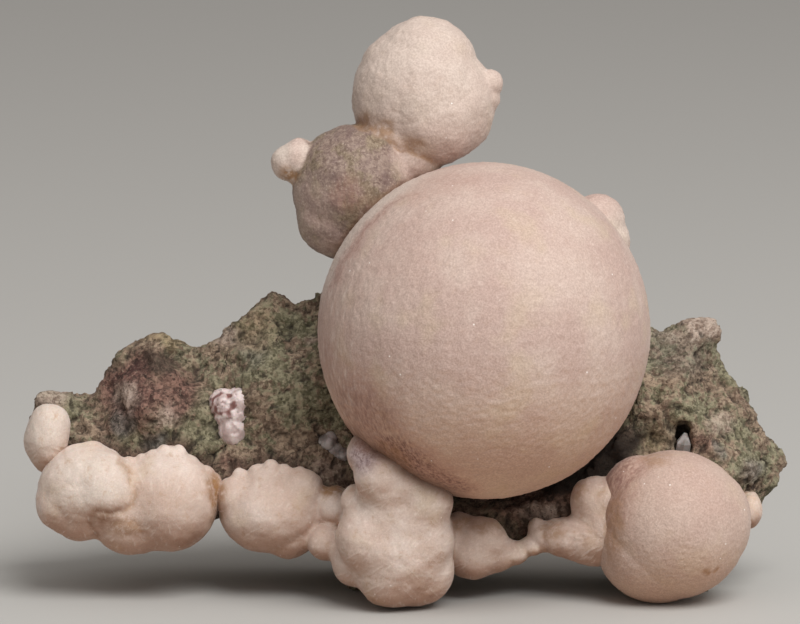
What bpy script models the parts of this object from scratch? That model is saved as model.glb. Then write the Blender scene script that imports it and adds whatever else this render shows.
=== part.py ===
"""Thomsonite: radiating spheres and lumps grown on a slab of green-stained basalt.

The specimen stands upright on its two lowest lumps and on the broken rock behind them.
X runs to the right, Y away from the viewer, Z up. The origin is the middle of the underside of its box.
Lengths below are in millimetres, and mm() turns them into Blender's metres.
"""

import math

import bmesh
import bpy
from mathutils import Matrix, Vector, noise

COLLECTION_NAME = "thomsonite"

# Gap left between neighbouring pieces, and how much more a cutter is grown to make sure of it
GAP = 0.30
CUTTER_ALLOWANCE = 0.10

# Grain of the meshes, before they are thinned
SPHERE_VOXEL = 0.50
LUMP_VOXEL = 0.42
ROCK_VOXEL = 0.70
FUSE_SMOOTHING = 3
FUSE_SMOOTHING_FACTOR = 0.5

# Share of a piece's triangles that its cutter keeps
CUTTER_SHARE = 0.45

# Meridians and rings of the balls that the lobes start from, of the great cutters and of the small ones
LOBE_MESH = (32, 20)
GREAT_CUTTER_MESH = (36, 20)
VUG_CUTTER_MESH = (24, 14)
PIT_CUTTER_MESH = (9, 6)

# Triangles left in each piece
SPHERE_GROUP_TRIANGLES = 1880
FRONT_CLUSTER_TRIANGLES = 2300
LEFT_CLUSTER_TRIANGLES = 800
END_LUMP_TRIANGLES = 160
REAR_LUMP_TRIANGLES = 80
WHITE_AMYGDULE_TRIANGLES = 200
GREY_AMYGDULE_TRIANGLES = 100
ROCK_TRIANGLES = 1800

# The great sphere, which sets the scale of the rest
GREAT_RADIUS = 19.75
GREAT_HALF_HEIGHT = 20.0
GREAT_CENTRE = (9.2, -1.5, 32.8)

# Lobes: centre and radius, or centre and the three half widths
SPHERE_GROUP = {
    "great_sphere": (GREAT_CENTRE, (GREAT_RADIUS, GREAT_RADIUS, GREAT_HALF_HEIGHT)),
    "side_bump": ((22.8, 3.5, 45.2), 3.4),
    "side_bump_low": ((23.5, 3.5, 43.0), 3.3),
    "grey_sphere": ((-6.2, 6.2, 49.1), 7.5),
    "grey_sphere_foot": ((-7.8, 5.5, 46.0), 5.4),
    "grey_sphere_left": ((-10.3, 6.0, 48.8), (3.2, 4.0, 4.8)),
    "neck": ((-0.0, 7.5, 52.1), (3.4, 3.4, 3.1)),
    "top_sphere": ((1.6, 9.5, 59.7), 8.2),
    "top_sphere_crown": ((2.2, 9.5, 62.7), 6.5),
    "top_sphere_left": ((0.7, 9.5, 61.2), 6.8),
    "top_sphere_shoulder": ((3.3, 9.5, 58.9), 7.5),
    "top_bump": ((9.8, 8.5, 61.3), 1.8),
    "top_bump_low": ((9.3, 8.5, 59.5), 2.0),
    "tip_end": ((-14.0, 5.5, 52.1), 2.2),
    "tip_crown": ((-12.7, 5.5, 53.1), 1.9),
    "tip_foot": ((-13.1, 5.5, 51.0), 1.6),
}
FRONT_CLUSTER = {
    "middle_lump": ((-16.1, 2.2, 10.3), (6.4, 6.2, 5.0)),
    "middle_knob": ((-16.9, 1.6, 13.2), (2.8, 3.0, 2.8)),
    "middle_left_knob": ((-20.1, 1.6, 12.0), (2.8, 3.2, 2.8)),
    "middle_right_knob": ((-12.7, 1.2, 12.9), (2.8, 3.2, 2.8)),
    "middle_low_knob": ((-14.1, 1.0, 8.1), (3.4, 3.4, 3.2)),
    "stained_lobe": ((-8.6, 1.0, 11.0), (2.5, 3.2, 2.6)),
    "small_ball": ((-9.6, -1.4, 7.2), 2.2),
    "centre_core": ((-1.1, -3.0, 8.1), (6.9, 8.0, 5.7)),
    "centre_left": ((-4.0, -6.8, 8.8), (4.4, 4.4, 4.3)),
    "centre_right": ((1.7, -6.6, 8.4), (4.0, 4.2, 4.0)),
    "centre_foot": ((-1.7, -6.2, 4.7), (4.4, 4.4, 4.4)),
    "centre_right_foot": ((1.3, -5.0, 4.6), (4.4, 4.4, 4.3)),
    "centre_left_foot": ((-5.9, -3.4, 5.4), (3.1, 3.8, 3.1)),
    "centre_shoulder": ((2.1, -7.0, 13.0), (3.4, 4.0, 3.5)),
    "centre_crown": ((-2.9, -7.8, 16.4), (3.3, 3.8, 3.3)),
    "crown_right": ((-0.5, -7.8, 15.3), (3.0, 3.4, 2.6)),
    "lavender_lobe": ((-4.8, -5.4, 18.7), (2.2, 3.8, 2.6)),
    "centre_bead": ((-2.2, -9.4, 12.9), (2.0, 2.2, 1.9)),
    "side_bead": ((-5.9, -5.0, 12.9), (1.9, 2.8, 2.0)),
    "bridge_lump": ((7.9, -0.2, 5.8), (3.6, 3.8, 3.2)),
    "bridge_lump_shoulder": ((6.3, 0.6, 8.4), (2.5, 3.2, 3.0)),
    "bridge_lump_knob": ((9.9, -0.6, 8.5), (1.6, 2.2, 1.6)),
    "bridge_lump_side": ((10.6, 0.4, 5.6), (2.5, 3.0, 2.4)),
    "bridge_1": ((12.9, 0.8, 5.5), (1.8, 2.4, 1.4)),
    "bridge_2": ((15.0, 1.2, 6.3), (1.6, 2.2, 1.2)),
    "bridge_stem": ((15.8, 2.0, 7.9), (1.1, 2.2, 1.8)),
    "bridge_3": ((16.8, 1.2, 7.3), (1.8, 2.4, 1.8)),
    "bridge_4": ((18.8, 1.0, 7.1), (2.4, 2.8, 2.4)),
    "bridge_5": ((21.4, 0.4, 6.8), (2.9, 3.0, 2.8)),
    "right_knob": ((21.8, 0.8, 11.7), (2.2, 2.8, 3.0)),
    "right_sphere": ((31.9, -0.9, 9.3), 8.9),
    "right_sphere_side": ((33.9, -0.9, 9.6), 7.3),
    "right_sphere_low": ((30.0, -0.9, 7.4), 7.5),
    "right_sphere_shoulder": ((27.9, -0.8, 13.2), 4.4),
    "right_sphere_flank": ((26.0, -1.0, 5.9), (3.2, 3.6, 3.3)),
}
LEFT_CLUSTER = {
    "outer_lobe": ((-38.3, 1.4, 13.2), (5.8, 6.0, 5.5)),
    "outer_lobe_end": ((-40.7, 0.4, 11.7), (3.7, 3.8, 3.7)),
    "outer_lobe_foot": ((-38.8, 0.4, 10.8), (3.7, 3.8, 3.7)),
    "outer_lobe_face": ((-34.9, -0.8, 13.4), (3.9, 4.0, 3.9)),
    "outer_lobe_crown": ((-37.7, 1.8, 16.6), (2.3, 2.6, 2.4)),
    "inner_lobe": ((-28.6, 1.6, 11.7), (6.1, 6.4, 6.1)),
    "low_lobe": ((-32.9, 0.8, 10.0), (5.0, 4.6, 4.6)),
    "inner_lobe_bead": ((-30.5, 1.6, 16.2), (1.4, 1.8, 1.4)),
    "inner_lobe_crown": ((-28.1, 1.6, 16.0), (2.4, 2.6, 2.4)),
    "inner_lobe_side": ((-25.1, 2.0, 14.0), (2.3, 2.6, 2.4)),
    "inner_lobe_edge": ((-24.0, 2.0, 12.9), (2.1, 2.4, 2.4)),
}
END_LUMP = {
    "end_face": ((-42.7, 3.4, 20.8), (2.4, 3.0, 2.4)),
    "end_middle": ((-43.4, 3.6, 19.1), (2.4, 3.2, 2.4)),
    "end_foot": ((-43.0, 3.6, 17.0), (2.0, 2.6, 2.3)),
}
REAR_LUMP = {
    "rear": ((41.5, 6.6, 9.7), (1.6, 2.4, 2.2)),
}
WHITE_AMYGDULE = {
    "white_body": ((-21.3, 5.4, 23.0), (2.5, 2.6, 2.3)),
    "white_tongue": ((-20.5, 5.2, 19.7), (1.4, 2.2, 2.0)),
}
GREY_AMYGDULE = {
    "grey_body": ((-9.1, 5.7, 18.2), (1.3, 2.2, 1.4)),
    "grey_tail": ((-7.5, 5.4, 16.9), (1.1, 2.0, 1.0)),
}

# Slab of rock: its middle plane, how far it reaches before and behind it, and its rim seen from the front.
# The rim behind the great sphere isn't seen, and is a guess.
SLAB_MIDDLE = 12.5
SLAB_FRONT_DEPTH = 9.0
SLAB_BACK_DEPTH = 9.0
LEFT_RIM = (
    (-41.5, 12.2), (-44.4, 16.5), (-45.6, 19.3), (-45.5, 21.3), (-44.7, 23.0), (-43.7, 23.7),
    (-41.9, 23.5), (-39.4, 22.4), (-38.3, 22.9), (-37.3, 24.2), (-35.9, 26.6), (-34.9, 28.3),
    (-33.0, 28.8), (-31.7, 30.3), (-30.0, 30.9), (-28.5, 29.7), (-27.2, 29.3), (-25.9, 28.3),
    (-24.3, 28.3), (-21.9, 30.8), (-20.6, 32.4), (-17.5, 34.4), (-16.6, 36.4), (-15.6, 35.7),
    (-13.8, 33.5), (-12.2, 34.7), (-9.0, 36.0),
)
HIDDEN_RIM = ((-9.0, 36.0), (-3.0, 37.2), (5.0, 36.4), (14.0, 36.8), (22.0, 34.0), (28.4, 31.2))
RIGHT_RIM = (
    (28.4, 31.2), (30.9, 30.6), (33.4, 32.4), (34.4, 32.1), (35.6, 32.8), (37.9, 31.9),
    (38.9, 30.0), (37.6, 28.8), (37.3, 28.1), (38.0, 26.8), (40.9, 24.0), (43.2, 19.3),
    (45.3, 16.5), (46.2, 14.8), (45.7, 12.8), (43.5, 10.2), (41.2, 7.4),
)
# The rock reaches the ground behind the right sphere and behind the middle of the front cluster
LOWER_RIM = (
    (41.2, 7.4), (39.2, 4.8), (37.0, 1.6), (35.6, -3.0), (28.9, -3.0), (27.4, 1.6),
    (25.0, 4.8), (22.0, 6.6), (15.6, 5.3), (10.4, 5.4), (6.4, 4.8), (5.0, 1.6), (4.0, -3.0),
    (-5.6, -3.0), (-7.4, 1.6), (-8.8, 4.8), (-14.0, 8.2), (-22.0, 8.6), (-30.0, 9.0),
    (-37.0, 9.4), (-41.5, 12.2),
)

# The slab thins towards its rim: over what width, and what share of its thickness is left at the edge
FRONT_TAPER = (7.5, 0.28)
BACK_TAPER = (5.5, 0.12)
LOWER_TAPER = (2.5, 0.82)

# Faces where the back was broken: a point on each, and the way it faces
BROKEN_FACES = (
    ((-30.0, 21.4, 20.0), (-0.42, 0.90, 0.10)),
    ((0.0, 21.5, 30.5), (0.05, 0.80, 0.60)),
    ((30.0, 21.3, 20.0), (0.50, 0.85, 0.15)),
    ((0.0, 20.8, 7.0), (0.10, 0.88, -0.45)),
    ((-26.0, 20.0, 28.0), (-0.20, 0.75, 0.62)),
    ((24.0, 20.5, 30.0), (0.35, 0.75, 0.55)),
    ((-33.0, 19.0, 13.0), (-0.30, 0.80, -0.55)),
    ((37.0, 18.5, 9.0), (0.42, 0.85, -0.35)),
)

# Broad swellings (positive) and hollows (negative) of the front face: x, z, reach and height
FRONT_RELIEF = (
    (-31.0, 24.0, 6.5, 2.2),
    (-40.0, 19.5, 4.0, 0.8),
    (-17.0, 25.0, 7.5, 1.2),
    (-9.0, 20.0, 4.0, -1.6),
    (-25.2, 26.0, 1.8, -2.2),
    (33.5, 25.0, 6.0, 1.0),
    (41.5, 15.5, 4.5, 1.6),
    (36.4, 31.0, 2.8, 1.4),
)
# Small pits of the front face: x, z and half widths across and up
PITS = (
    (-25.4, 25.6, 0.4, 0.5),
    (-18.3, 21.4, 0.7, 0.5),
    (-33.6, 18.6, 0.6, 0.4),
    (-22.4, 17.3, 0.8, 0.5),
    (-17.2, 16.9, 0.6, 0.4),
    (38.6, 18.2, 0.5, 0.4),
)
PIT_SINK = 0.25
PIT_DEPTH_SHARE = 1.5

# Relief of the broken rock: how wide its waves are, and how high
FRONT_WAVE = (6.0, 1.0)
BACK_WAVE = (7.0, 1.6)
GRAIN_WAVE = (2.2, 0.50)

# The dark gap below the great sphere, cut by the same sphere moved down
UNDERCUT_SHIFT = (0.3, -0.3, -3.0)
UNDERCUT_EXTRA_RADIUS = 0.2

# Vug in the right face and the crystal that stands in it
VUG_CENTRE = (33.2, 3.4, 19.2)
VUG_HALF_SIZE = (1.2, 3.4, 2.0)
CRYSTAL_BASE = (33.2, 4.7, 16.9)
CRYSTAL_RADIUS = 0.95
CRYSTAL_PRISM = 1.5
CRYSTAL_POINT = 1.2
CRYSTAL_TIP_SHARE = 0.25
CRYSTAL_SIDES = 6
CRYSTAL_LEAN = (12.0, 8.0)

# Uneven growth of the thomsonite: wave width and height on the spheres and on the lumps
SPHERE_WAVE = (9.0, 0.10)
LUMP_WAVE = (2.6, 0.22)

MATERIALS = {
    "thomsonite_tan": ((0.60, 0.43, 0.34), 0.70),
    "thomsonite_cream": ((0.72, 0.56, 0.48), 0.65),
    "basalt": ((0.12, 0.10, 0.065), 0.92),
    "zeolite": ((0.55, 0.46, 0.45), 0.55),
}
METALLIC = 0.0

# Edges sharper than this, in degrees, stay sharp
LUMP_SHARP_ANGLE = 60.0
ROCK_SHARP_ANGLE = 35.0
CRYSTAL_SHARP_ANGLE = 20.0

# Block below the ground that trims the feet flat: width and depth
GROUND_BLOCK = (140.0, 20.0)
# A place well before the specimen, from which its front face is measured
VIEWER_DEPTH = -60.0


def mm(value):
    """Millimetres as metres, for a number or a vector."""
    if isinstance(value, (int, float)):
        return value * 0.001
    return Vector(value) * 0.001


def clear_scene():
    for thing in list(bpy.data.objects):
        bpy.data.objects.remove(thing, do_unlink=True)


def new_collection(name):
    made = bpy.data.collections.new(name)
    bpy.context.scene.collection.children.link(made)
    return made


def new_material(name):
    colour, roughness = MATERIALS[name]
    made = bpy.data.materials.new(name)
    made.use_nodes = True
    shader = made.node_tree.nodes["Principled BSDF"]
    shader.inputs["Base Color"].default_value = (*colour, 1.0)
    shader.inputs["Roughness"].default_value = roughness
    shader.inputs["Metallic"].default_value = METALLIC
    made.diffuse_color = (*colour, 1.0)
    return made


def object_from_bmesh(name, shape, collection):
    mesh = bpy.data.meshes.new(name)
    shape.to_mesh(mesh)
    shape.free()
    made = bpy.data.objects.new(name, mesh)
    collection.objects.link(made)
    return made


def freeze(thing):
    """Replaces an object's mesh by what its modifiers make of it."""
    graph = bpy.context.evaluated_depsgraph_get()
    made = bpy.data.meshes.new_from_object(thing.evaluated_get(graph))
    old = thing.data
    thing.modifiers.clear()
    thing.data = made
    bpy.data.meshes.remove(old)


def fuse(thing, voxel):
    """Makes overlapping closed shells one skin of even quads."""
    remesh = thing.modifiers.new("fuse", "REMESH")
    remesh.mode = "VOXEL"
    remesh.voxel_size = mm(voxel)
    soften = thing.modifiers.new("soften", "SMOOTH")
    soften.factor = FUSE_SMOOTHING_FACTOR
    soften.iterations = FUSE_SMOOTHING
    freeze(thing)


def thin_out(thing, triangles):
    """Thins a mesh to about this many triangles."""
    thing.data.calc_loop_triangles()
    ratio = triangles / len(thing.data.loop_triangles)
    if ratio < 1.0:
        decimate = thing.modifiers.new("thin out", "DECIMATE")
        decimate.ratio = ratio
        freeze(thing)


def wave(point, width, seed):
    """Smooth noise from -1 to 1 whose waves are about this wide."""
    return noise.noise(Vector(point) / mm(width) + Vector((seed, seed * 0.37, seed * 0.71)))


def roughen(thing, width, height, seed):
    """Moves each point along its normal by smooth noise and by half as high noise twice as fine."""
    normals = [vertex.normal.copy() for vertex in thing.data.vertices]
    for vertex, normal in zip(thing.data.vertices, normals):
        broad = wave(vertex.co, width, seed)
        fine = wave(vertex.co, width / 2.0, seed + 11.0)
        vertex.co += normal * mm(height) * (broad + 0.5 * fine)


def add_ellipsoid(shape, centre, radii, ball_mesh):
    if isinstance(radii, (int, float)):
        radii = (radii, radii, radii)
    place = Matrix.Translation(mm(centre)) @ Matrix.Diagonal((*mm(radii), 1.0))
    meridians, rings = ball_mesh
    ball = bmesh.new()
    bmesh.ops.create_uvsphere(ball, u_segments=meridians, v_segments=rings, radius=1.0, matrix=place)
    mesh = bpy.data.meshes.new("lobe")
    ball.to_mesh(mesh)
    ball.free()
    shape.from_mesh(mesh)
    bpy.data.meshes.remove(mesh)


def lobed_solid(name, lobes, voxel, surface_wave, triangles, collection, seed):
    """Ellipsoids grown into one another, as a mineral's lumps do."""
    shape = bmesh.new()
    for centre, radii in lobes.values():
        add_ellipsoid(shape, centre, radii, LOBE_MESH)
    made = object_from_bmesh(name, shape, collection)
    fuse(made, voxel)
    roughen(made, *surface_wave, seed)
    thin_out(made, triangles)
    return made


def largest_body(thing):
    """Drops the crumbs that a cut leaves beside the main body."""
    shape = bmesh.new()
    shape.from_mesh(thing.data)
    unseen = set(shape.verts)
    bodies = []
    while unseen:
        front = [unseen.pop()]
        body = list(front)
        while front:
            vertex = front.pop()
            for edge in vertex.link_edges:
                other = edge.other_vert(vertex)
                if other in unseen:
                    unseen.remove(other)
                    front.append(other)
                    body.append(other)
        bodies.append(body)
    bodies.sort(key=len)
    crumbs = [vertex for body in bodies[:-1] for vertex in body]
    bmesh.ops.delete(shape, geom=crumbs, context="VERTS")
    shape.to_mesh(thing.data)
    shape.free()


def cut(thing, cutter):
    boolean = thing.modifiers.new("cut", "BOOLEAN")
    boolean.operation = "DIFFERENCE"
    boolean.solver = "EXACT"
    boolean.object = cutter
    freeze(thing)


def as_cutter(thing):
    thing.hide_render = True
    thing.display_type = "WIRE"
    return thing


def grown(thing, voxel, collection):
    """A cutter in the shape of a piece, grown by the gap."""
    made = bpy.data.objects.new(thing.name + "_cutter", thing.data.copy())
    collection.objects.link(made)
    swell = made.modifiers.new("swell", "DISPLACE")
    swell.mid_level = 0.0
    swell.strength = mm(GAP + CUTTER_ALLOWANCE)
    remesh = made.modifiers.new("clean", "REMESH")
    remesh.mode = "VOXEL"
    remesh.voxel_size = mm(voxel)
    freeze(made)
    made.data.calc_loop_triangles()
    thing.data.calc_loop_triangles()
    thin_out(made, CUTTER_SHARE * len(thing.data.loop_triangles))
    return as_cutter(made)


def distance_to_line(x, z, points):
    """How far a point of the front view is from an open row of points, in millimetres."""
    nearest = math.inf
    for (x1, z1), (x2, z2) in zip(points, points[1:]):
        run_x = x2 - x1
        run_z = z2 - z1
        along = ((x - x1) * run_x + (z - z1) * run_z) / (run_x * run_x + run_z * run_z)
        along = min(max(along, 0.0), 1.0)
        nearest = min(nearest, math.hypot(x - x1 - along * run_x, z - z1 - along * run_z))
    return nearest


def ease(value):
    """Smooth step from 0 to 1."""
    value = min(max(value, 0.0), 1.0)
    return value * value * (3.0 - 2.0 * value)


def taper(x, z, line, width, edge_share):
    """The share of the slab's thickness at a place of the front view, which falls towards a rim."""
    return edge_share + (1.0 - edge_share) * ease(distance_to_line(x, z, line) / width)


def front_share(x, z):
    """The share of its full depth that the slab has before its middle plane."""
    upper = min(taper(x, z, rim, *FRONT_TAPER) for rim in (LEFT_RIM, HIDDEN_RIM, RIGHT_RIM))
    return upper * taper(x, z, LOWER_RIM, *LOWER_TAPER)


def back_share(x, z):
    """The share of its full depth that the slab has behind its middle plane."""
    return min(taper(x, z, rim, *BACK_TAPER) for rim in (LEFT_RIM, RIGHT_RIM))


def front_swelling(x, z):
    """How far the broad forms of the front face stand out, in millimetres."""
    height = 0.0
    for centre_x, centre_z, reach, rise in FRONT_RELIEF:
        away = math.hypot(x - centre_x, z - centre_z) / reach
        height += rise * ease(1.0 - away)
    return height


def shape_slab(thing):
    """Thins the slab towards its rim and gives its two faces their relief."""
    for vertex in thing.data.vertices:
        x, y, z = vertex.co * 1000.0
        depth = abs(y - SLAB_MIDDLE)
        if y < SLAB_MIDDLE:
            relief = front_swelling(x, z) + FRONT_WAVE[1] * wave(vertex.co, FRONT_WAVE[0], 3.0)
            depth = (depth + relief * depth / SLAB_FRONT_DEPTH) * front_share(x, z)
            vertex.co.y = mm(SLAB_MIDDLE - depth)
        else:
            relief = BACK_WAVE[1] * min(wave(vertex.co, BACK_WAVE[0], 7.0), 0.0)
            depth = (depth + relief * depth / SLAB_BACK_DEPTH) * back_share(x, z)
            vertex.co.y = mm(SLAB_MIDDLE + depth)


def break_off(shape, point, facing):
    """Cuts a closed mesh flat and closes the cut."""
    everything = shape.verts[:] + shape.edges[:] + shape.faces[:]
    result = bmesh.ops.bisect_plane(
        shape, geom=everything, plane_co=mm(point), plane_no=Vector(facing).normalized(), clear_outer=True
    )
    rim = [item for item in result["geom_cut"] if isinstance(item, bmesh.types.BMEdge)]
    bmesh.ops.holes_fill(shape, edges=rim, sides=0)


def rock_slab(collection):
    curve = bpy.data.curves.new("slab outline", "CURVE")
    curve.dimensions = "2D"
    curve.fill_mode = "BOTH"
    curve.extrude = mm((SLAB_FRONT_DEPTH + SLAB_BACK_DEPTH) / 2.0)
    spline = curve.splines.new("POLY")
    points = LEFT_RIM[:-1] + HIDDEN_RIM + RIGHT_RIM[1:] + LOWER_RIM[1:-1]
    spline.points.add(len(points) - 1)
    for place, (x, z) in zip(spline.points, points):
        place.co = (mm(x), mm(z), 0.0, 1.0)
    spline.use_cyclic_u = True
    outline = bpy.data.objects.new("slab outline", curve)
    middle = SLAB_MIDDLE + (SLAB_BACK_DEPTH - SLAB_FRONT_DEPTH) / 2.0
    outline.matrix_world = Matrix.Translation((0.0, mm(middle), 0.0)) @ Matrix.Rotation(math.pi / 2.0, 4, "X")
    collection.objects.link(outline)
    bpy.context.view_layer.update()
    graph = bpy.context.evaluated_depsgraph_get()
    mesh = bpy.data.meshes.new_from_object(outline.evaluated_get(graph))
    shape = bmesh.new()
    shape.from_mesh(mesh)
    bmesh.ops.remove_doubles(shape, verts=shape.verts, dist=mm(0.01))
    shape.transform(outline.matrix_world)
    for point, facing in BROKEN_FACES:
        break_off(shape, point, facing)
    bmesh.ops.recalc_face_normals(shape, faces=shape.faces)
    bpy.data.objects.remove(outline)
    bpy.data.meshes.remove(mesh)
    made = object_from_bmesh("matrix", shape, collection)
    fuse(made, ROCK_VOXEL)
    shape_slab(made)
    return made


def rock(collection):
    made = rock_slab(collection)
    fuse(made, ROCK_VOXEL)
    roughen(made, *GRAIN_WAVE, 5.0)
    thin_out(made, ROCK_TRIANGLES)
    return made


def cutter_of(name, centre, radii, ball_mesh, collection):
    shape = bmesh.new()
    add_ellipsoid(shape, centre, radii, ball_mesh)
    return as_cutter(object_from_bmesh(name, shape, collection))


def face_depth(thing, x, z):
    """Where the front face of a piece lies at a place of the front view, in millimetres."""
    start = mm((x, VIEWER_DEPTH, z))
    hit, place, _, _ = thing.ray_cast(start, Vector((0.0, 1.0, 0.0)))
    return place.y * 1000.0 if hit else SLAB_MIDDLE


def cut_pits(thing, collection):
    for number, (x, z, across, up) in enumerate(PITS):
        place = (x, face_depth(thing, x, z) + PIT_SINK, z)
        radii = (across, PIT_DEPTH_SHARE * up, up)
        cut(thing, cutter_of(f"pit_{number}", place, radii, PIT_CUTTER_MESH, collection))


def crystal(collection):
    """A short six-sided prism with a point, leaning against the back of the vug."""
    shape = bmesh.new()
    bmesh.ops.create_cone(
        shape,
        cap_ends=True,
        segments=CRYSTAL_SIDES,
        radius1=mm(CRYSTAL_RADIUS),
        radius2=mm(CRYSTAL_RADIUS),
        depth=mm(CRYSTAL_PRISM),
    )
    top = [face for face in shape.faces if face.normal.z > 0.9]
    point = bmesh.ops.extrude_face_region(shape, geom=top)["geom"]
    raised = [item for item in point if isinstance(item, bmesh.types.BMVert)]
    bmesh.ops.delete(shape, geom=top, context="FACES")
    for vertex in raised:
        vertex.co.x *= CRYSTAL_TIP_SHARE
        vertex.co.y *= CRYSTAL_TIP_SHARE
        vertex.co.z += mm(CRYSTAL_POINT)
    back, side = (math.radians(angle) for angle in CRYSTAL_LEAN)
    lean = Matrix.Rotation(side, 4, "Y") @ Matrix.Rotation(back, 4, "X")
    raise_to_base = Matrix.Translation((0.0, 0.0, mm(CRYSTAL_PRISM / 2.0)))
    shape.transform(Matrix.Translation(mm(CRYSTAL_BASE)) @ lean @ raise_to_base)
    bmesh.ops.triangulate(shape, faces=shape.faces)
    return object_from_bmesh("vug_crystal", shape, collection)


def trim_at_floor(thing, collection):
    """Leaves a small flat where a piece stands on the ground."""
    shape = bmesh.new()
    width, depth = GROUND_BLOCK
    size = Matrix.Diagonal((mm(width), mm(width), mm(depth), 1.0))
    bmesh.ops.create_cube(shape, size=1.0, matrix=Matrix.Translation(mm((0.0, 0.0, -depth / 2.0))) @ size)
    cut(thing, as_cutter(object_from_bmesh(thing.name + "_floor", shape, collection)))


def finish(thing, material, smooth_angle):
    largest_body(thing)
    thing.data.materials.clear()
    thing.data.materials.append(material)
    thing.data.shade_smooth()
    thing.data.set_sharp_from_angle(angle=math.radians(smooth_angle))


def main():
    clear_scene()
    parts = new_collection(COLLECTION_NAME)
    cutters = new_collection("cutters")

    spheres = lobed_solid(
        "sphere_group", SPHERE_GROUP, SPHERE_VOXEL, SPHERE_WAVE, SPHERE_GROUP_TRIANGLES, parts, 1.0
    )
    front = lobed_solid(
        "front_cluster", FRONT_CLUSTER, LUMP_VOXEL, LUMP_WAVE, FRONT_CLUSTER_TRIANGLES, parts, 2.0
    )
    left = lobed_solid(
        "left_cluster", LEFT_CLUSTER, LUMP_VOXEL, LUMP_WAVE, LEFT_CLUSTER_TRIANGLES, parts, 3.0
    )
    end = lobed_solid("end_lump", END_LUMP, LUMP_VOXEL, LUMP_WAVE, END_LUMP_TRIANGLES, parts, 4.0)
    rear = lobed_solid("rear_lump", REAR_LUMP, LUMP_VOXEL, LUMP_WAVE, REAR_LUMP_TRIANGLES, parts, 5.0)
    white = lobed_solid(
        "white_amygdule", WHITE_AMYGDULE, LUMP_VOXEL, LUMP_WAVE, WHITE_AMYGDULE_TRIANGLES, parts, 6.0
    )
    grey = lobed_solid(
        "grey_amygdule", GREY_AMYGDULE, LUMP_VOXEL, LUMP_WAVE, GREY_AMYGDULE_TRIANGLES, parts, 7.0
    )

    room = GAP + CUTTER_ALLOWANCE + 1.5 * SPHERE_WAVE[1]
    great_grown = cutter_of(
        "great_sphere_cutter",
        GREAT_CENTRE,
        (GREAT_RADIUS + room, GREAT_RADIUS + room, GREAT_HALF_HEIGHT + room),
        GREAT_CUTTER_MESH,
        cutters,
    )
    cut(front, great_grown)
    front_grown = grown(front, LUMP_VOXEL, cutters)
    cut(left, front_grown)
    left_grown = grown(left, LUMP_VOXEL, cutters)
    cut(end, left_grown)
    trim_at_floor(front, cutters)

    stone = rock(parts)
    undercut = cutter_of(
        "undercut",
        Vector(GREAT_CENTRE) + Vector(UNDERCUT_SHIFT),
        GREAT_RADIUS + GAP + UNDERCUT_EXTRA_RADIUS,
        GREAT_CUTTER_MESH,
        cutters,
    )
    cut_pits(stone, cutters)
    cut(stone, cutter_of("vug", VUG_CENTRE, VUG_HALF_SIZE, VUG_CUTTER_MESH, cutters))
    gem = crystal(parts)
    cut(stone, grown(gem, LUMP_VOXEL / 2.0, cutters))
    for cutter in (great_grown, undercut, front_grown, left_grown):
        cut(stone, cutter)
    for piece in (end, rear, white, grey):
        cut(stone, grown(piece, LUMP_VOXEL, cutters))
    trim_at_floor(stone, cutters)

    tan = new_material("thomsonite_tan")
    cream = new_material("thomsonite_cream")
    basalt = new_material("basalt")
    zeolite = new_material("zeolite")
    finish(spheres, tan, LUMP_SHARP_ANGLE)
    finish(front, cream, LUMP_SHARP_ANGLE)
    finish(left, cream, LUMP_SHARP_ANGLE)
    finish(end, cream, LUMP_SHARP_ANGLE)
    finish(rear, cream, LUMP_SHARP_ANGLE)
    finish(white, zeolite, LUMP_SHARP_ANGLE)
    finish(grey, zeolite, LUMP_SHARP_ANGLE)
    finish(gem, zeolite, CRYSTAL_SHARP_ANGLE)
    finish(stone, basalt, ROCK_SHARP_ANGLE)


main()
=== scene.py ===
"""Looks of the thomsonite specimen: velvety spheres, waxy lumps and mottled basalt.

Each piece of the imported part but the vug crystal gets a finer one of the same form.
X runs to the right, Y away from the viewer, Z up, as in the part. Lengths are in millimetres,
and mm() turns them into Blender's metres.
"""

import math

import bmesh
import bpy
import numpy as np
from mathutils import Matrix, Vector, noise
from mathutils.bvhtree import BVHTree


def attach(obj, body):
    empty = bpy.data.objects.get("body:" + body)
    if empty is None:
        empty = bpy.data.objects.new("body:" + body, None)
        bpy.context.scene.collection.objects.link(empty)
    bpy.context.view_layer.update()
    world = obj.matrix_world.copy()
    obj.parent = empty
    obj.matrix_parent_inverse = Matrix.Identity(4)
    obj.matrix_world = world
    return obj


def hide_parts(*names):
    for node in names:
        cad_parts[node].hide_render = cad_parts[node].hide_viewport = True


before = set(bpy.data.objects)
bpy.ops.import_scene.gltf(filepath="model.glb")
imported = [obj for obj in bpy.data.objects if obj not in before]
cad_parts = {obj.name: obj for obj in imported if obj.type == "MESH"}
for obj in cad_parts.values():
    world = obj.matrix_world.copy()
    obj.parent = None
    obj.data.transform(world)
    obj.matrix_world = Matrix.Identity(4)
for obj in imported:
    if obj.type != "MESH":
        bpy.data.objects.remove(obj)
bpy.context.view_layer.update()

# Camera: the photograph was taken from the front and from slightly above
VIEW_DISTANCE = 600.0
VIEW_TARGET = (-0.76, 0.0, 34.84)
VIEW_RISE = 8.0
VIEW_WIDTH = 95.2
SENSOR_WIDTH = 36.0

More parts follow.
